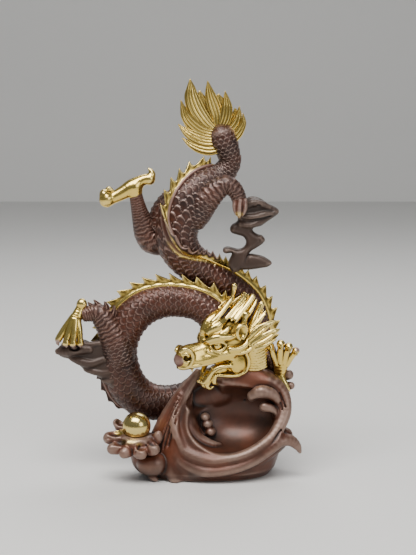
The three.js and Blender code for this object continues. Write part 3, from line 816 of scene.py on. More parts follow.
def bundle(name, locks, gold, warm=0.0):
    """Several locks as one piece."""
    points, faces, deep, worn, base = [], [[], []], [], [], 0
    for made, parts, values in locks:
        points.append(made)
        faces[0].append(parts[0] + base)
        faces[1] += [parts[1] + base, parts[2] + base]
        deep.append(values["deep"])
        worn.append(values["worn"])
        base += len(made)
    add_piece(
        name,
        "dragon",
        np.vstack(points),
        [np.vstack(faces[0]), np.vstack(faces[1])],
        DRAGON,
        deep=np.concatenate(deep),
        worn=np.concatenate(worn),
        gold=gold,
        warm=warm,
    )


# Locks of the tail: rows of x, z and half width from the root to the tip, then depth and grooves.
TUFT = [
    ([[7, 164.6, 2.2], [2, 162.6, 2.6], [-3.4, 163.2, 2.5], [-8.4, 165.4, 1.7], [-12.8, 168.6, 0.2]], -1.2, 3),
    ([[6.6, 167.4, 2.2], [0.4, 166.8, 3.0], [-5, 168.2, 3.1], [-10, 171, 2.2], [-14.7, 175.2, 0.2]], -1.8, 4),
    ([[5.6, 170.6, 2.2], [-0.6, 171.2, 3.0], [-6.4, 174.4, 3.2], [-10.8, 179.4, 2.6], [-13.4, 187, 0.2]], -1.4, 4),
    ([[3.6, 172, 2.4], [-1.2, 176, 3.6], [-5.6, 182, 4.3], [-8, 188.4, 3.7], [-8.4, 193, 2.2], [-8.8, 197.2, 0.3]], -0.6, 5),
    ([[4.4, 172.6, 2.4], [4.2, 179.6, 3.2], [2.4, 185.6, 3.3], [0.8, 190.8, 2.3], [-0.2, 196.4, 0.2]], 0.2, 4),
    ([[6, 172.4, 2.2], [8.4, 178, 3.0], [9.2, 183, 2.9], [9, 187, 1.8], [8.4, 191.4, 0.2]], -0.4, 4),
    ([[8, 170, 2.2], [12, 173.6, 2.8], [14.4, 177.4, 2.4], [15.2, 180.4, 1.4], [15.4, 184, 0.2]], 0.4, 3),
    ([[9.4, 166, 2.0], [13.6, 169.4, 2.4], [16.2, 173, 2.0], [17.6, 176.4, 1.2], [17.2, 180.6, 0.2]], -0.4, 3),
    ([[0.4, 174, 2.6], [-1, 180, 4.4], [-3, 186, 3.4], [-4.2, 191.6, 0.4]], 2.2, 6),
    ([[3, 174, 2.6], [6.4, 179, 4.6], [6, 185, 3.6], [5, 190, 0.4]], 2.4, 6),
    ([[2, 170, 2.6], [-4, 172, 4.2], [-9, 177, 3.4], [-12, 182.4, 0.4]], 1.8, 5),
    ([[8, 170, 2.6], [12, 174.6, 4.2], [13.6, 179, 2.6], [13.4, 183, 0.4]], 2.2, 5),
]


def tuft_lock(rows, depth, ridges):
    rows = np.array(rows, float)
    bow = depth * np.sin(np.linspace(0.2, 1, len(rows)) * np.pi * 0.8)
    full = np.stack([rows[:, 0], bow, rows[:, 1], rows[:, 2]], 1)
    return lock(full, ridges, flat=0.52, around=52, step=0.5)


bundle("tail_tuft", [tuft_lock(*row) for row in TUFT], 1.0)

# Small spikes of hair behind the left elbow.
ELBOW = [
    [[-52.6, -6, 82.4, 2.2], [-54.6, -6.4, 86.2, 1.5], [-56.8, -6.6, 88.8, 0.3]],
    [[-54.8, -5, 82, 2.0], [-57.6, -5.4, 85.2, 1.4], [-59.8, -5.6, 87.4, 0.3]],
    [[-50.4, -6, 81.4, 2.2], [-50.4, -6.6, 85.2, 1.5], [-51.4, -6.8, 88, 0.3]],
    [[-48.4, -6, 79.6, 2.0], [-46.8, -6.8, 83, 1.4], [-46.6, -7, 86, 0.3]],
]
bundle("elbow_tuft", [lock(rows, 2, flat=0.7) for rows in ELBOW], 0.0, 0.1)

# ---------------------------------------------------------------- head

HEAD_AT = np.array([4.1, -12.0, 66.6])
YAW, PITCH = math.radians(28), math.radians(12)
FORWARD = np.array(
    [
        -math.cos(PITCH) * math.cos(YAW),
        -math.cos(PITCH) * math.sin(YAW),
        -math.sin(PITCH),
    ]
)
LEFT = np.array([math.sin(YAW), -math.cos(YAW), 0.0])
UP = np.cross(FORWARD, LEFT)


def from_head(points):
    """Forward, left and up on the head's own axes, as x, y, z."""
    points = np.asarray(points, float)
    return HEAD_AT + points[:, :3] @ np.array([FORWARD, LEFT, UP])


head = Clay([-33, -16, -24], [27, 16, 30], 0.36)


def both(points, soft=0.5, dig=False, flat=None):
    """A stroke on the head's left and its mirror image on the right."""
    points = np.asarray(points, float)
    head.stroke(points, soft, dig, flat)
    if flat is not None:
        flat = ((flat[0][0], -flat[0][1], flat[0][2]), flat[1])
    head.stroke(points * [1, -1, 1, 1], soft, dig, flat)


def both_eggs(at, radii, soft=0.5, dig=False):
    head.egg(at, radii, soft, dig)
    head.egg([at[0], -at[1], at[2]], radii, soft, dig)


# skull, snout and lower jaw
head.egg([-8.4, 0, 2.6], [12, 8.8, 9.6])
head.stroke(
    [[0, 0, 1.4, 7.0], [6, 0, 0, 5.4], [12, 0, -0.4, 4.6], [18.4, 0, -0.4, 4.4]], 2.5
)
both([[18.6, 2.2, -2.8, 2.0], [11, 3.8, -3.6, 2.4], [4, 5.2, -3.6, 2.8], [-4, 6.6, -3.8, 3.2]], 2.4)
head.stroke([[-10, 0, -8, 7], [-3, 0, -11, 5.2], [4, 0, -12.2, 3.6], [8.6, 0, -13.4, 2]], 2)
both_eggs([-7, 5.2, -8], [6.5, 3.2, 7.5], 2)
# the open mouth
head.egg([7.5, 0, -8.4], [11.5, 9.5, 2.0], 0.5, True)
head.egg([2, 0, -8.8], [6.5, 5.5, 2.8], 0.5, True)
both([[-3.4, 7.8, -8.6, 1.1], [1, 7.2, -7.6, 1.3], [6, 6.4, -7.9, 1.5], [12, 5, -8.4, 1.8]], 0.4, True)
# nose and nostrils
head.egg([20.6, 0, -1.0], [3.2, 3.6, 3.6], 0.6)
both(
    [
        [20.6, 2.4, 3.6, 1.1],
        [18.6, 3.4, 4.3, 1.3],
        [16.6, 4.3, 3.2, 1.2],
        [15.8, 4.7, 0.8, 1.1],
        [16.8, 4.7, -2.0, 1.1],
        [18.6, 4.1, -4.0, 1.1],
    ],
    0.5,
)
both_eggs([18.6, 3.9, 0.0], [1.9, 1.3, 1.6], 0.5, True)
both([[20.0, 3.2, 2.2, 0.9], [18.4, 4.0, 2.0, 1.0], [17.9, 4.4, 0.9, 0.7]], 0.3)
head.stroke([[18.6, 0, 3.6, 1.8], [14.6, 0, 3.6, 1.8], [9.5, 0, 2.6, 1.8]], 1.4)
# rim of the upper lip
both(
    [
        [21.8, 0.8, -4.4, 1.2],
        [20.6, 2.6, -4.6, 1.2],
        [17, 4.2, -4.8, 1.1],
        [11, 5.2, -5.4, 1.0],
        [6.4, 6.0, -5.6, 1.0],
        [2.6, 6.8, -5.4, 1.0],
        [-1.2, 7.6, -5.6, 1.0],
        [-3.4, 8.0, -7.0, 0.8],
    ],
    0.7,
)
# cheek ridge that waves back from below the eye into the ear
both(
    [
        [7.4, 5.6, 0.2, 0.7],
        [5.2, 6.4, -1.2, 0.9],
        [1.0, 7.7, -2.9, 1.0],
        [-3.2, 8.6, -3.3, 1.0],
        [-7.6, 9.2, -4.7, 1.1],
        [-11.5, 9.5, -4.7, 1.1],
        [-14.7, 9.6, -3.4, 1.0],
        [-16.2, 9.8, -1.2, 0.8],
    ],
    0.7,
)
both([[-3, 8.4, -1.4, 1.3], [-7, 9, -2.2, 1.6], [-11, 9, -1.6, 1.6], [-13.6, 9, 0.6, 1.1]], 1.0)
# lower lip, beard and teeth
both(
    [
        [-5.6, 7.2, -12.0, 0.9],
        [-2.7, 7, -10.2, 1.1],
        [0.4, 6.8, -9.4, 1.1],
        [3.4, 6, -9.2, 1.1],
        [6.4, 4.9, -10.2, 1.2],
        [8.2, 3.9, -12.2, 1.3],
        [9.6, 2.8, -14.6, 1.4],
    ],
    0.5,
)
both([[8.6, 2.6, -13.4, 1.8], [11.4, 2.0, -15.4, 1.2], [13.0, 1.6, -15.0, 0.5]], 0.4)
both([[8.0, 2.4, -14.4, 1.8], [10.2, 2.2, -17.2, 1.3], [9.0, 2.2, -19.2, 0.9], [7.0, 2.4, -18.8, 0.5]], 0.4)
both([[5.6, 3.0, -13.6, 1.6], [6.4, 3.0, -16.6, 1.2], [4.6, 2.8, -18.4, 0.6]], 0.4)
both([[17.0, 3.6, -5.0, 1.0], [17.2, 3.5, -7.6, 0.3]], 0.2)
both([[6.4, 4.6, -10.6, 0.9], [7.0, 4.6, -8.0, 0.25]], 0.2)
# jaw plate with its rim
both_eggs([-6.6, 7.0, -10.2], [4.6, 1.9, 5.2], 0.7)
both(
    [
        [-10.8, 9.4, -6.2, 0.8],
        [-11.6, 9.0, -8.8, 0.9],
        [-11.4, 8.4, -12.2, 0.9],
        [-9.6, 7.4, -15.2, 0.9],
        [-5.0, 6.6, -16.0, 0.9],
        [0.6, 5.4, -14.6, 0.9],
        [4.4, 4.2, -13.4, 0.7],
    ],
    0.4,
)
# eyes under heavy lids
both_eggs([3.2, 7.2, 2.0], [3.6, 2.0, 2.2], 0.6, True)
both_eggs([2.2, 6.2, 1.8], [2.2, 1.8, 1.9], 0.25)
both([[5.9, 5.6, 2.2, 0.5], [5.1, 6.4, 0.4, 0.65], [3.2, 7.3, -0.7, 0.7], [0.9, 8.0, -0.5, 0.7], [-1.2, 8.5, 1.2, 0.5]], 0.3)
both([[5.8, 5.4, 3.4, 0.6], [3.6, 7.0, 3.9, 0.7], [0.8, 8.0, 3.4, 0.7], [-1.4, 8.6, 1.8, 0.5]], 0.3)
# brow in one broad swoosh, with a curl over it
both(
    [
        [7.0, 2.8, 4.4, 1.2],
        [5.4, 4.8, 5.2, 1.8],
        [2.4, 6.6, 6.0, 2.2],
        [-1.3, 7.6, 5.2, 2.1],
        [-4.8, 8.4, 4.6, 1.6],
        [-7.6, 8.9, 4.6, 0.8],
    ],
    0.7,
)
both([[0.4, 6.6, 7.0, 1.4], [-2.6, 7.2, 7.6, 1.5], [-5.0, 7.0, 8.8, 1.3], [-7.4, 6.6, 9.6, 0.6]], 0.4)
both_eggs([5.6, 3.0, 2.6], [1.5, 1.4, 1.5], 0.3)
head.egg([6.6, 0, 5.0], [1.8, 2.2, 1.8], 0.5)
# forehead: a broad smooth lobe on each side of a central crest
both([[4.4, 3.0, 8.6, 1.6], [1.9, 4.0, 9.9, 2.4], [-0.8, 4.4, 10.9, 2.6], [-3.4, 4.2, 12.0, 2.0], [-6, 3.8, 13.2, 0.9]], 0.4)
head.stroke([[5.8, 0, 6.8, 1.6], [4.6, 0, 9.6, 2.4], [1.6, 0, 12.4, 3.0], [-4, 0, 14.4, 3.2], [-10, 0, 14.6, 3.2]], 1.2)
both([[4.8, 4.4, 7.0, 0.7], [1.8, 5.8, 8.0, 0.9], [-1.4, 6.2, 9.0, 0.8]], 0.3)
both([[4.2, 2.2, 11.0, 0.8], [1.4, 2.4, 13.4, 0.9], [-2.4, 2.2, 15.0, 0.7]], 0.3)
# ears: an upright loop, open in the middle
both_eggs([-10.2, 9.0, 5.4], [3.0, 1.6, 3.6], 0.6)
both(
    [
        [-8.4, 9.8, 2.6, 0.9],
        [-7.4, 10, 5.0, 1.0],
        [-8.4, 10, 7.9, 1.1],
        [-11, 10, 9.1, 1.1],
        [-12.9, 9.8, 7.6, 1.0],
        [-12.4, 9.8, 4.4, 0.9],
        [-10.4, 9.8, 2.4, 0.9],
    ],
    0.3,
)
both_eggs([-10.2, 10.8, 5.6], [1.5, 1.6, 2.3], 0.4, True)
# horns
both([[-12.6, 6.6, 6, 1.9], [-13.8, 6.8, 9.0, 1.5], [-14.8, 6.6, 10.8, 1.5], [-15.9, 6.5, 12.4, 1.9]], 0.4)
both([[-14.6, 6.2, 0.8, 2.2], [-17.6, 6.2, 4.4, 2.3], [-20.3, 6, 7.8, 2.0], [-23.4, 5.6, 11.4, 1.7], [-26.2, 5.5, 14.8, 1.5]], 0.5)
head.stroke([[-12, -5, 14, 1.5], [-15.4, -5, 18.8, 1.2], [-17.4, -5, 22.6, 1.3], [-18.4, -5, 25.0, 1.6]], 0.4)

# locks of the mane: root, middle and tip on the head's left
MANE = [
    [[1.2, 3.4, 13.4, 1.0], [-4.8, 3.0, 16.4, 1.2], [-11.8, 1.6, 20.6, 1.0], [-13.4, 1.4, 21.4, 0.6]],
    [[-5.2, 4.4, 12.8, 1.0], [-11, 3.4, 15.8, 1.1], [-16.3, 2.4, 18.4, 1.0], [-21.0, 1.4, 20.8, 0.6]],
    [[-8.6, 5.0, 12.6, 0.9], [-13.6, 4.4, 15.4, 1.0], [-18.6, 3.4, 17.8, 0.9], [-22.6, 3.0, 20.2, 0.5]],
    [[-10.2, 6.0, 11.4, 1.2], [-15.2, 5.4, 14.6, 1.3], [-19.6, 5.0, 17.4, 1.3], [-22.6, 4.6, 19.6, 1.4]],
    [[-13.6, 6.0, 9.6, 1.0], [-18.6, 5.6, 12.6, 1.1], [-24.0, 5.0, 17.4, 0.6]],
    [[-15.6, 7.8, 3.2, 1.1], [-20.6, 8.2, 7.0, 1.2], [-26.2, 8.2, 11.4, 0.5]],
]
for rows in MANE:
    rows = np.array(rows)
    both(rows, 0.35)
    thin = rows + [0.8, 0.9, -1.0, 0]
    thin[:, 3] *= 0.5
    both(thin, 0.25)
    thin = rows + [0.4, -1.2, 0.5, 0]
    thin[:, 3] *= 0.55
    both(thin, 0.25)
# pointed leaves behind the ear, rimmed and hollow along the middle
LEAVES = [
    [[-13.4, 8.8, 0.4, 1.6], [-17.6, 10.2, 2.8, 2.3], [-22.6, 11.4, 5.2, 2.0], [-28.6, 12.2, 6.4, 0.5]],
    [[-14.6, 9.6, -2.2, 1.6], [-20, 11.4, -0.8, 2.3], [-25.4, 12.4, 1.0, 2.0], [-29.6, 13, 1.9, 0.5]],
    [[-14.4, 9.2, -4.8, 1.0], [-20, 10.8, -4.4, 1.3], [-27.2, 11.6, -3.0, 0.5]],
]
for rows in LEAVES:
    rows = np.array(rows)
    both(rows, 0.3, flat=((0.2, 1, 0.2), 0.5))
    for off, size in ((-0.7, 0.3), (0.1, 0.34), (0.85, 0.3)):
        inner = rows + [0, 1.15, 0, 0]
        inner[:, 2] += off * rows[:, 3]
        inner[:, 3] *= size
        both(inner[:-1], 0.2, True)
# hair behind the jaw, in thin strands that fall back
for i in range(8):
    c = -5.4 - 1.35 * i
    drop = 1.2 + 0.1 * i
    both(
        [
            [-11.4, 8.2 - 0.2 * i, c, 0.9],
            [-16, 9.2 - 0.2 * i, c - 0.7 * drop, 0.95],
            [-20.4, 9.0 - 0.1 * i, c - 0.5 * drop, 0.8],
            [-24.6 + 0.6 * i, 8.6, c + 0.4 - 0.2 * i, 0.3],
        ],
        0.25,
    )


def head_gold(points, deep):
    """Bright on the face, and only on the raised strands of the hair."""
    nose = np.linalg.norm((points - [22.6, 1.2, -0.8]) / [3.2, 3.6, 3.2], axis=1)
    crown = np.linalg.norm((points - [-7.4, 0, 13.4]) / [5.4, 5.4, 3.4], axis=1)
    leaf = smooth(-points[:, 0], 17, 20) * (1 - smooth(points[:, 2], 3.4, 4.6)) * smooth(points[:, 2], -4, -3)
    hair = np.maximum(smooth(-points[:, 0], 10.5, 13), smooth(points[:, 2], 12.6, 14))
    gold = smooth(nose, 0.85, 1.05) * smooth(crown, 0.6, 1.0)
    return gold * (1 - hair * smooth(deep, 0.25, 0.7)) * (1 - 0.75 * leaf * smooth(deep, 0.0, 0.3))


cast_clay(
    "head",
    "dragon",
    head,
    DRAGON,
    from_head,
    fine=0.7,
    broad=2.2,
    gold=head_gold,
    warm=lambda p, deep: 0.5 + 0 * p[:, 0],
)

# ---------------------------------------------------------------- paws

def even(value):
    """The same value all over a piece."""
    return lambda points, deep: np.full(len(points), value)


paws = Clay([-79, -18, 60], [-56, -1, 92], 0.3)
paws.stroke(
    [[-62.6, -6.6, 87.2, 2.3], [-63.6, -7.0, 84.2, 2.3], [-65.2, -8.0, 80.4, 3.0], [-67, -8.8, 76.6, 3.4], [-68, -9.4, 73, 3.0]],
    0.8,
    flat=((0.2, 1, 0), 0.75),
)
paws.egg([-62.6, -7.0, 86.6], [2.6, 2.0, 2.4], 0.6)
for rows in (
    [[-67, -8.4, 80, 1.9], [-70.8, -9.4, 74.6, 2.0], [-73.4, -10.2, 70.8, 1.8], [-74.2, -10.4, 69.4, 1.7]],
    [[-66.6, -9.6, 79.4, 1.8], [-68.4, -11.0, 74.0, 1.9], [-69.9, -12.0, 69.8, 1.6], [-70.1, -12.2, 68.0, 1.9]],
    [[-65.6, -10, 79.2, 1.8], [-66.0, -11.8, 74, 1.8], [-66.5, -12.7, 69.8, 1.5], [-66.6, -12.8, 67.8, 1.9]],
    [[-64.6, -9.4, 79, 1.8], [-63.8, -10.6, 74, 1.8], [-63.3, -11.4, 70, 1.5], [-63.2, -11.4, 67.8, 1.9]],
):
    paws.stroke(rows, 0.3)
paws.stroke([[-74.2, -10.4, 69.2, 1.3], [-74.6, -9.8, 67.6, 0.9], [-74.2, -9.2, 66.4, 0.4]], 0.2)
for x in (-70.1, -66.6, -63.2):
    paws.stroke([[x, -12, 67.6, 1.1], [x, -10.6, 65.6, 0.4]], 0.2)
cast_clay(
    "paw_fore_left",
    "dragon",
    paws,
    DRAGON,
    gold=lambda points, deep: smooth(points[:, 2], 66.6, 67.4) * (1 - smooth(-points[:, 0], 72.4, 73.4) * (1 - smooth(points[:, 2], 69, 70))),
    warm=even(0.0),
)

paws = Clay([27, -15, 38], [52, 4, 72], 0.3)
paws.stroke([[36.4, 0, 46.8, 2.6], [36.2, -2.4, 51, 3.0], [36.6, -3.8, 56.4, 4.0], [36.8, -4.4, 59, 3.8]], 0.8, flat=((0, 1, 0), 0.75))
for rows in (
    [[34.4, -4.8, 56, 2.0], [32.8, -6.0, 60.4, 1.8], [31.6, -7.0, 63.6, 1.6], [31.0, -7.8, 65.6, 2.1]],
    [[36, -5.4, 57, 2.0], [36.0, -6.8, 61.6, 1.8], [36.2, -7.8, 64.8, 1.6], [36.2, -8.6, 66.8, 2.2]],
    [[37.8, -5.2, 57, 2.0], [38.8, -6.4, 61, 1.8], [39.6, -7.4, 63.6, 1.6], [40.2, -8.2, 65.4, 2.1]],
    [[39.2, -4.4, 56, 2.0], [41.2, -5.2, 59.4, 1.8], [43.0, -6, 61.4, 1.5], [43.8, -6.6, 63.0, 1.9]],
):
    paws.stroke(rows, 0.3)
    tip = np.array(rows[-1])
    paws.stroke([tip + [0.2, -1.4, -0.2, -0.9], tip + [0.5, -2.6, -2.0, -1.7]], 0.2)
paws.stroke([[36.4, -2.4, 50, 2.2], [37.8, -4, 47, 1.8], [39.4, -4.8, 44.6, 1.4], [41.0, -5, 42.2, 0.5]], 0.4)
cast_clay(
    "paw_fore_right",
    "dragon",
    paws,
    DRAGON,
    gold=lambda points, deep: 1 - 0.8 * smooth(deep, 0.3, 0.8) - smooth(points[:, 0], 43, 44) * smooth(points[:, 2], 62.5, 63.5),
    warm=even(0.0),
)

paws = Clay([-57, -14, 130], [-24, 3, 160], 0.3)
paws.stroke(
    [
        [-28.8, -4, 148.4, 2.9],
        [-31.4, -4, 148.2, 2.7],
        [-34.6, -4.2, 146.6, 3.2],
        [-37.6, -4.4, 144.4, 4.0],
        [-41.6, -5, 142.0, 3.5],
        [-46, -5.6, 139.8, 3.1],
        [-49.4, -6, 139.0, 3.6],
    ],
    0.6,
)
paws.stroke([[-36, -4.4, 144, 3.8], [-35.8, -4.4, 141.6, 3.4]], 1.2)
paws.stroke([[-28.8, -4, 148.6, 2.6], [-27.6, -4, 150.8, 1.8], [-28.2, -4, 152.6, 1.1], [-29.4, -4, 153.8, 0.4]], 0.4)
paws.egg([-51, -6.2, 141.2], [2.4, 3.4, 2.6], 0.6)
paws.stroke([[-49.8, -6, 142.4, 1.2], [-48.8, -6, 143.8, 1.3], [-47.4, -6, 143.2, 1.0]], 0.3)
paws.egg([-49.8, -6.2, 138.6], [3.7, 4.2, 3.9], 0.8)
for y in (-8.2, -4.8):
    paws.stroke([[-47.4, y - 0.6, 135.4, 0.4], [-51.6, y - 0.6, 135.6, 0.7], [-54.2, y, 138.4, 0.5]], 0.5, True)
cast_clay("paw_hind_left", "dragon", paws, DRAGON, gold=even(1.0), warm=even(0.0))

paws = Clay([6, -16, 120], [28, 0, 146], 0.3)
paws.stroke([[14.8, -7.6, 140, 3.1], [15.8, -8, 136.4, 3.3], [15.6, -7.8, 133, 2.8]], 0.8)
for rows in (
    [[13.8, -9.0, 138, 1.8], [13.4, -10.2, 135, 1.5], [14.0, -10.2, 132.4, 1.2], [14.8, -9.4, 130.6, 0.4]],
    [[15.6, -9.6, 138, 1.8], [15.2, -10.8, 134.6, 1.5], [15.2, -10.8, 131.6, 1.2], [15.2, -9.8, 129.8, 0.4]],
    [[17.6, -8.8, 138, 1.8], [17.8, -9.8, 135, 1.5], [17.2, -9.8, 132.4, 1.2], [16.4, -9.0, 130.6, 0.4]],
):
    paws.stroke(rows, 0.35)
cast_clay(
    "paw_hind_right",
    "dragon",
    paws,
    DRAGON,
    gold=lambda points, deep: 0.5 * (1 - smooth(np.linalg.norm(points - [15.2, -12, 130.4], axis=1), 1.6, 3.4)),
    warm=even(0.2),
)

# ---------------------------------------------------------------- clouds

cloud = Clay([-80, -12, 30], [-36, 6, 78], 0.42)
cloud.slab(
    [
        [-71.6, 66.6], [-67, 68.6], [-61.6, 67.6], [-58, 66.4], [-54, 69], [-47, 68], [-42, 60],
        [-42, 48], [-46.6, 43], [-49.6, 44.6], [-50.4, 47.4], [-54.8, 48.8], [-56.6, 50.6],
        [-60.6, 51.2], [-63.6, 54.2], [-68, 57.6], [-73.4, 59.4], [-76, 61.6], [-75, 64],
    ],
    -7.0,
    2.0,
    3.4,
)
# rolls and the furrows between them
for rows in (
    [[-75, -5, 62.4, 1.6], [-70, -6.4, 62.6, 2.4], [-65, -6.6, 63.6, 2.6], [-59, -6.4, 63.6, 2.0]],
    [[-72, -5.6, 65.8, 1.4], [-66, -6.4, 67, 1.6], [-60, -6, 66, 1.4], [-54, -6, 66.6, 1.6]],
    [[-68, -5.6, 59, 1.5], [-63, -6.6, 57.4, 2.2], [-58, -6.4, 56.6, 2.2], [-52, -6, 58.4, 2.0]],
    [[-61, -5.4, 53.4, 1.4], [-57, -6.2, 52.4, 1.8], [-52.6, -6, 51.6, 1.8], [-48, -6, 52.4, 1.6]],
    [[-52.4, -5, 47.6, 1.2], [-49, -6, 47.4, 1.4], [-46, -6, 49, 1.4]],
):
    cloud.stroke(rows, 0.7)
cloud.egg([-66.4, -8.6, 64.8], [2.8, 1.6, 1.6], 0.6, True)
cloud.egg([-66.6, -8.0, 64.8], [1.5, 1.2, 0.9], 0.4)
cast_clay("cloud_left", "dragon", cloud, CLOUD, gold=even(0.0), warm=even(0.2))

cloud = Clay([3, -11, 94], [40, 7, 144], 0.42)
cloud.slab(
    [
        [14.8, 132.1], [17.3, 137.1], [20.7, 139.6], [24.7, 139.3], [27.7, 137.6], [29.7, 136.1],
        [33.1, 134.6], [35.1, 132.6], [33.2, 130.1], [29.7, 127.7], [26.2, 125.2], [22.8, 124.4],
        [22.3, 122.7], [24.8, 120.9], [26.8, 120.4], [28.3, 118.2], [26.8, 116.2], [23.8, 114.2],
        [21.4, 112.7], [19.6, 110], [18, 105], [13, 102], [10, 106], [11.9, 111.5], [8.9, 111.5],
        [7.4, 112.5], [7.9, 114.2], [10.4, 114.7], [14.4, 113.7], [16.9, 114], [18.6, 115.7],
        [18.8, 117.7], [17.4, 119.9], [14.4, 120.9], [11.6, 121.9], [10.9, 123.7], [11.9, 125.7],
        [14.6, 127.7],
    ],
    -6.0,
    2.4,
    2.6,
)
cloud.slab(
    [
        [15, 104], [18, 108.4], [20.4, 111], [24, 110.7], [27, 110], [29.8, 108.5], [31.8, 106.7],
        [29.8, 104.9], [25.9, 104.2], [20, 103.4],
    ],
    -5.6,
    2.4,
    2.2,
)
# bands that flow from the foot to the point, parted by furrows, and an eye over them
cloud.stroke([[17, -5.4, 130, 1.8], [23, -6, 129.6, 2.0], [28, -5.8, 131.2, 1.8], [33.6, -4.4, 132, 1.0]], 1.0)
cloud.stroke([[18, -5.4, 134.6, 1.4], [22, -6, 136.8, 1.8], [26, -6, 136.4, 1.8], [30, -5.4, 134.6, 1.2]], 1.0)
cloud.stroke([[16.4, -5.4, 126.2, 1.6], [21, -5.8, 126, 1.8], [26, -5.2, 127.4, 1.4], [30, -4.4, 129.4, 0.8]], 0.8)
for rows in (
    [[17, -7.4, 133.4, 1.0], [20, -7.6, 132.4, 1.0], [26, -7.4, 133.6, 0.8], [32, -6.2, 133, 0.5]],
    [[16.6, -7.2, 128.6, 1.1], [20, -7.6, 127.8, 1.0], [25, -7.2, 128.8, 0.8], [31, -5.6, 130.6, 0.5]],
    [[25.4, -6.4, 119, 0.5], [25.8, -6.4, 117.6, 0.6], [23.6, -6.4, 115.8, 0.5]],
    [[19, -6.2, 108.2, 0.5], [23, -6.4, 107.6, 0.7], [28, -6, 106.8, 0.5]],
):
    cloud.stroke(rows, 0.6, True)
cloud.egg([24.8, -7.6, 135.4], [1.4, 1.0, 0.9], 0.4, True)
cast_clay("cloud_right", "dragon", cloud, CLOUD, gold=even(0.0), warm=even(0.1))

# ---------------------------------------------------------------- wave base

wave = Clay([-55, -36, -1.2], [50, 27, 58], 0.55)
# heights with the left, right, front and back limits of the mass
LEVELS = np.array(
    [
        [-2, -33, 31, -22, 22],
        [0, -33, 31, -22.4, 22],
        [4, -35, 34, -25.4, 24],
        [10, -32.5, 36, -25, 23],
        [18, -28, 38, -22.8, 18],
        [28, -24.5, 40.4, -19.5, 14],
        [38, -18.5, 41.6, -17, 12],
        [47, -11, 39, -13, 11],
        [52, -3, 32, -10.5, 9],
        [55, 9, 20, -3, 2],
    ],
    float,
)
wx, wy, wz = (
    wave.axes[0][:, None, None],
    wave.axes[1][None, :, None],
    wave.axes[2],
)
limits = [np.interp(wz, LEVELS[:, 0], LEVELS[:, i])[None, None, :] for i in range(1, 5)]
half_x = (limits[1] - limits[0]) / 2
half_y = (limits[3] - limits[2]) / 2
mx = np.abs(wx - (limits[0] + limits[1]) / 2) / half_x
my = np.abs(wy - (limits[2] + limits[3]) / 2) / half_y
ring = (mx**2.4 + my**2.4) ** (1 / 2.4)
mass = (ring - 1) * np.minimum(half_x, half_y) * 0.9
mass = np.maximum(mass, wz[None, None, :] - 54.6)
wave.field[:] = np.minimum(np.maximum(mass, -6), wave.FAR)

# the bowl, with the coil that shows in its upper corner
wave.egg([12.5, -23, 31.6], [24, 19.5, 17.8], 1.2, True)
wave.egg([-1, -14, 40], [10, 10, 9], 1.2, True)
wave.stroke([[-6, 3, 38, 10], [6, 4, 42, 11], [16, 4, 50, 10]], 0.5)
wave.stroke([[-4.6, -12.6, 21, 3.0], [-9.6, -12, 26, 4.6], [-11.2, -10, 34, 3.6], [-9, -8, 41, 1.6]], 1.0)
wave.stroke([[-9.6, -14, 26, 3.0], [-5.6, -15.2, 20.4, 3.4], [1.6, -15, 17.4, 2.2], [6, -13.6, 17, 0.8]], 0.6)

# terraces that wind round the bowl, each one a step further out and lower
TERRACES = [
    [[-14, -12, 42, 1.2], [-17, -17, 29, 2.2], [-14.6, -19.6, 20, 2.4], [-10.3, -21.6, 14.7, 2.5], [1, -23.6, 11.4, 2.6],
     [8.3, -23.8, 12, 2.6], [15.7, -23.3, 13.5, 2.6], [23.1, -21.9, 16.4, 2.6], [30.6, -19.6, 21.3, 2.8],
     [35.1, -16.6, 26.5, 3.2], [38, -13.2, 33, 3.4], [38.2, -11.6, 39.4, 3.2], [36, -10.4, 44, 3.4],
     [30, -9.2, 48.4, 3.8], [19, -9.6, 49.6, 3.4], [12.6, -11.4, 49.2, 2.2], [8.0, -12.6, 49, 0.8]],
    [[-19, -15, 26, 1.8], [-15.6, -20.4, 14.2, 2.6], [-10.3, -22.8, 9, 2.8], [-3.9, -24.4, 6.7, 2.8], [1, -25, 6.2, 2.8],
     [8.3, -25, 6.9, 2.8], [15.7, -24.4, 8.5, 2.8], [23.1, -22.9, 11.6, 2.9], [30.5, -20.6, 16.6, 3.2],
     [35.5, -18.6, 20.2, 3.6], [40.6, -16.6, 19.8, 3.2], [44.2, -15.4, 16.7, 2.2], [45.8, -15, 13.4, 1.0]],
]
for rows in TERRACES:
    wave.stroke(rows, 2.0, flat=((0, -0.62, 0.78), 0.75))
# what carries them on the right, where they stand furthest out
wave.stroke([[24, -17, 11, 4.4], [33, -14, 17, 4.8], [38.6, -10.6, 21, 3.8]], 1.0)
# sharp furrows under the steps
FURROWS = [
    [[-17.2, -21.4, 21, 0.9], [-13.6, -24.6, 13.6, 1.1], [-8, -26.4, 10.6, 1.0], [1, -27.8, 8.8, 0.9],
     [8.3, -27.9, 9.4, 0.9], [15.7, -27.4, 10.9, 0.9], [23.1, -25.8, 13.9, 0.9], [30.6, -23.2, 19, 0.8],
     [34.4, -20.4, 23.4, 0.7], [37.6, -16.8, 27.6, 0.5]],
    [[-16.6, -24.4, 9.6, 0.9], [-10, -26.6, 5.4, 1.0], [1, -28.6, 3.0, 1.0], [8.3, -28.6, 3.6, 1.0],
     [16, -28, 5.2, 1.0], [24, -26, 8.8, 0.9], [31, -23.8, 13.4, 0.9], [37, -21, 16.2, 0.7]],
]
for rows in FURROWS:
    wave.stroke(rows, 0.5, True)
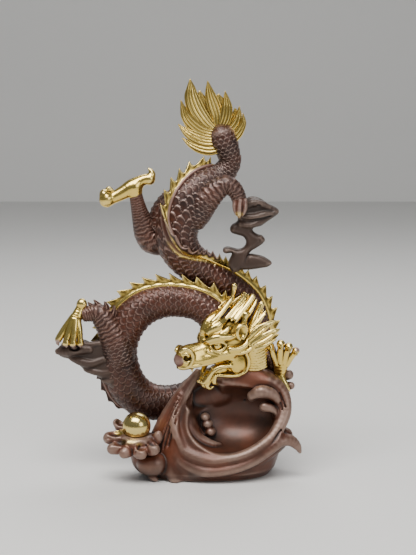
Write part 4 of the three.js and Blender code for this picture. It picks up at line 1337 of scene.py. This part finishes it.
# broad stream that rises on the left, grooved by fine flow lines
STREAMS = [
    [[-30, -9, 4, 4.4], [-27.4, -11, 12, 4.6], [-24, -11.6, 22, 4.2], [-19.6, -10.8, 32, 3.4], [-13, -9, 43, 2.4], [-5.4, -8, 53.4, 1.0]],
    [[-25, -14, 4, 4.4], [-22.4, -15, 13, 4.6], [-19.8, -14.8, 23, 3.8], [-15.8, -13, 33, 2.8], [-9.6, -10.6, 44, 1.8], [-3.6, -9, 53.4, 0.9]],
]
for rows in STREAMS:
    wave.stroke(rows, 1.2)
for shift in (-1.6, 0.2, 2.0, 3.8, 5.6):
    lean = 0.35 * shift
    wave.stroke(
        [
            [-27 + shift, -18.4 - lean, 9, 0.5],
            [-24.6 + shift, -17.4 - lean, 20, 0.6],
            [-20.6 + 0.9 * shift, -15.6 - lean, 31, 0.6],
            [-14.4 + 0.7 * shift, -12.4 - 0.8 * lean, 42, 0.5],
            [-7.4 + 0.4 * shift, -10 - 0.5 * lean, 51, 0.4],
        ],
        0.4,
        True,
    )
# foot of the stream, parting to both sides
wave.stroke([[-19, -18, 14, 2.6], [-18, -20.6, 7, 3.0], [-16.4, -22, 1.6, 3.0]], 2.4)
wave.stroke([[-22.6, -20.4, 12, 0.6], [-21.4, -24.6, 5.4, 0.8], [-20, -25.4, 1, 0.6]], 0.4, True)
wave.stroke([[-27, -18, 9, 2.4], [-28, -20, 3.6, 2.2], [-26, -21, 0.6, 1.6]], 0.8)
# the breaking crest and its two curls inside
wave.stroke([[3.4, -11.6, 50.4, 0.6], [10, -10.6, 50.2, 2.4], [18, -8, 51, 4.2], [27, -6.4, 49.4, 4.6], [34, -7, 44, 4.0]], 1.2)
wave.stroke([[35.4, -9, 30, 1.6], [35.0, -12.4, 37.6, 2.0], [31.8, -15.0, 42.6, 2.8], [26.4, -16, 44.2, 3.4], [22.4, -14.6, 41.8, 3.0]], 0.5)
wave.egg([25.6, -17.6, 39.0], [4.6, 4.4, 2.2], 0.6, True)
wave.stroke([[34.6, -9.6, 25.6, 1.4], [34.0, -13, 31.4, 1.8], [31.2, -15, 35.4, 2.2], [28, -15.2, 36.4, 2.6]], 0.5)
wave.egg([30.6, -15.6, 31.8], [2.6, 3.0, 1.9], 0.5, True)
for x in (36.4, 38.2):
    wave.stroke([[x, -14, 27, 0.4], [x + 0.6, -14.6, 35, 0.5], [x - 2.6, -13, 43, 0.4]], 0.4, True)
# a run of drops in the middle of the bowl
for x, z, r in ((-1.4, 30, 1.9), (-0.2, 26.6, 2.2), (1.2, 22.8, 2.2)):
    wave.egg([x, -9.8 - 0.14 * (31 - z), z], [1.25 * r, 1.6 * r, 1.15 * r], 0.8)
wave.stroke([[-4.6, -11.4, 31, 0.6], [-3.6, -13.4, 25, 0.9], [-0.8, -14.2, 19.6, 0.8]], 0.4, True)
wave.stroke([[19.4, -4, 40, 0.4], [16.6, -6.4, 33.4, 0.7], [12, -7.6, 28.6, 0.8], [6, -8, 25.2, 0.5]], 0.6, True)
# two round knobs beside the right paw
wave.stroke([[34, 2, 48, 2.6], [40.6, -1, 49.6, 2.6]], 0.5)
wave.stroke([[36, 1, 43.6, 2.0], [41.8, -2, 44.2, 2.0]], 0.5)

# the frilled cup under the pearl
wave.egg([-31, -14, 12], [7.6, 8, 10], 1.5)
wave.egg([-27.6, -19.4, 8.6], [7.8, 6.8, 6.2], 0.6)
wave.egg([-35.5, -19, 19.6], [11.6, 9.8, 5.4], 1.0)
LOBES = [
    [[-39, -18, 20.6, 3.4], [-44.6, -20, 21.8, 4.0], [-48.6, -20.6, 22.0, 3.2]],
    [[-38, -20, 19, 3.4], [-43.2, -24.4, 18.4, 3.6], [-46.8, -25.6, 17.8, 2.8]],
    [[-37, -21, 18, 3.2], [-39.6, -26.4, 17.0, 3.4], [-41.0, -28.6, 16.4, 2.6]],
    [[-34, -22, 18.0, 3.2], [-33.4, -27, 17.0, 3.8], [-32.4, -29.6, 16.4, 2.8]],
    [[-31, -21, 18.2, 3.2], [-28.0, -25.6, 18.0, 3.6], [-26.2, -27.8, 18.0, 2.8]],
    [[-29, -18, 20.0, 3.0], [-25.6, -20.6, 21.6, 3.0], [-24.4, -21.4, 24.0, 1.8]],
    [[-38, -16, 22, 2.8], [-42.8, -14.6, 25.6, 3.0], [-45.2, -14, 28, 2.2]],
]
for rows in LOBES:
    wave.stroke(rows, 0.4)
# hollowed upper faces of the lobes leave thin raised rims
for x, y, z, r in (
    (-45.6, -21.6, 25.2, 3.0),
    (-43.6, -26.6, 21.6, 2.6),
    (-32.0, -30.2, 20.4, 3.0),
    (-26.8, -27.6, 21.6, 2.4),
    (-42.8, -15.4, 28.6, 2.4),
):
    wave.egg([x, y, z], [r + 0.8, r, 0.8 * r], 0.5, True)
for rows in (
    [[-50.4, -22.6, 22.6, 0.35], [-46.4, -24.4, 22.4, 0.5], [-42, -25.4, 19.6, 0.35]],
    [[-50.6, -22.4, 20.4, 0.35], [-47, -24.8, 19.8, 0.5], [-43, -27.4, 17.6, 0.35]],
    [[-36.6, -31.4, 16.2, 0.3], [-34, -29, 18.6, 0.5], [-33.4, -26, 20, 0.3]],
    [[-30.4, -32, 16.6, 0.3], [-30.0, -29, 19.2, 0.5], [-30.4, -26, 20.4, 0.3]],
):
    wave.stroke(rows, 0.4, True)
wave.egg([-35.2, -20, 27.9], [7.1, 7.1, 7.1], 0.4, True)
# the flat underside
wave.field[:, :, wave.axes[2] < 0] = 1.0
wave.field[:, :, 0] = wave.FAR


def wave_warm(points, deep):
    """Redder along the crest and rubbed golden brown on the rising streams."""
    crest = np.linalg.norm((points - [19, -12, 49.4]) / [11, 9, 4.4], axis=1)
    stream = np.linalg.norm((points - [-21.5, -18, 25]) / [7, 9, 18], axis=1)
    cup = np.linalg.norm((points - [-36, -24, 14]) / [14, 12, 10], axis=1)
    red = 2.4 * (1 - smooth(crest, 0.5, 1.2)) + 0.7 * (1 - smooth(stream, 0.4, 1.2))
    return red + 0.5 * (1 - smooth(cup, 0.6, 1.1))


def cup_gold(points, deep):
    """A little brass left bright in the bottom of the cup."""
    cup = np.linalg.norm((points - [-36.8, -25.0, 20.6]) / [6.6, 4.0, 3.2], axis=1)
    left = np.linalg.norm((points - [-43, -20, 24.6]) / [4, 3, 2], axis=1)
    foot = np.linalg.norm((points - [-14.6, -28, 3.2]) / [0.9, 3, 1.6], axis=1)
    return 0.85 * (1 - smooth(np.minimum(np.minimum(cup, left), foot), 0.55, 1.0))


cast_clay(
    "wave_carving",
    "wave_base",
    wave,
    WAVE,
    fine=1.1,
    broad=3.4,
    gold=cup_gold,
    warm=wave_warm,
)

# ---------------------------------------------------------------- pearl

bpy.ops.mesh.primitive_uv_sphere_add(segments=96, ring_count=64, radius=0.007)
pearl = bpy.context.object
pearl.name = "pearl_ball"
pearl.data.transform(Matrix.Translation((-0.0352, -0.02, 0.0279)))
pearl.data.shade_smooth()
pearl.data.materials.append(pearl_finish)
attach(pearl, "root")
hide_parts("pearl")

# ---------------------------------------------------------------- stage, light and camera


def stage_plane(name, size, location, rotation, colour):
    bpy.ops.mesh.primitive_plane_add(size=size, location=location, rotation=rotation)
    plane = bpy.context.object
    plane.name = name
    paint = bpy.data.materials.new(name)
    paint.use_nodes = True
    bsdf = paint.node_tree.nodes["Principled BSDF"]
    bsdf.inputs["Base Color"].default_value = (*colour, 1)
    bsdf.inputs["Roughness"].default_value = 0.8
    plane.data.materials.append(paint)


stage_plane("floor", 6, (0, 0, 0), (0, 0, 0), (0.72, 0.71, 0.69))
stage_plane("backdrop", 6, (0, 1.6, 0), (math.pi / 2, 0, 0), (0.8, 0.79, 0.77))

world = bpy.data.worlds.new("studio")
bpy.context.scene.world = world
world.use_nodes = True
world.node_tree.nodes["Background"].inputs["Color"].default_value = (0.9, 0.95, 1, 1)
world.node_tree.nodes["Background"].inputs["Strength"].default_value = 0.22


def softbox(name, location, target, size, power, colour=(1, 1, 1)):
    data = bpy.data.lights.new(name, "AREA")
    data.shape = "RECTANGLE"
    data.size, data.size_y = size
    data.energy = power
    data.color = colour
    lamp = bpy.data.objects.new(name, data)
    bpy.context.scene.collection.objects.link(lamp)
    lamp.location = location
    way = np.array(target, float) - np.array(location, float)
    lamp.rotation_euler = Vector(way).to_track_quat("-Z", "Y").to_euler()


softbox("key", (-0.15, -0.45, 0.95), (0, 0, 0.1), (0.9, 0.45), 15, (1, 0.985, 0.96))
softbox("fill", (0.7, -0.8, 0.5), (0, 0, 0.1), (0.5, 0.5), 2.6, (0.97, 0.98, 1))
softbox("back", (0.1, 0.6, 0.9), (0, 0, 0.12), (0.8, 0.4), 5)

camera_data = bpy.data.cameras.new("camera")
camera_data.lens = 90.8
camera_data.sensor_width = 36
camera_data.clip_start = 0.01
camera = bpy.data.objects.new("camera", camera_data)
bpy.context.scene.collection.objects.link(camera)
tilt = math.radians(8)
camera.location = (0, -0.7 * math.cos(tilt), 0.099 + 0.7 * math.sin(tilt))
camera.rotation_euler = (math.pi / 2 - tilt, 0, 0)
bpy.context.scene.camera = camera


def plain(value):
    return [[float(v) for v in corner] for corner in value]
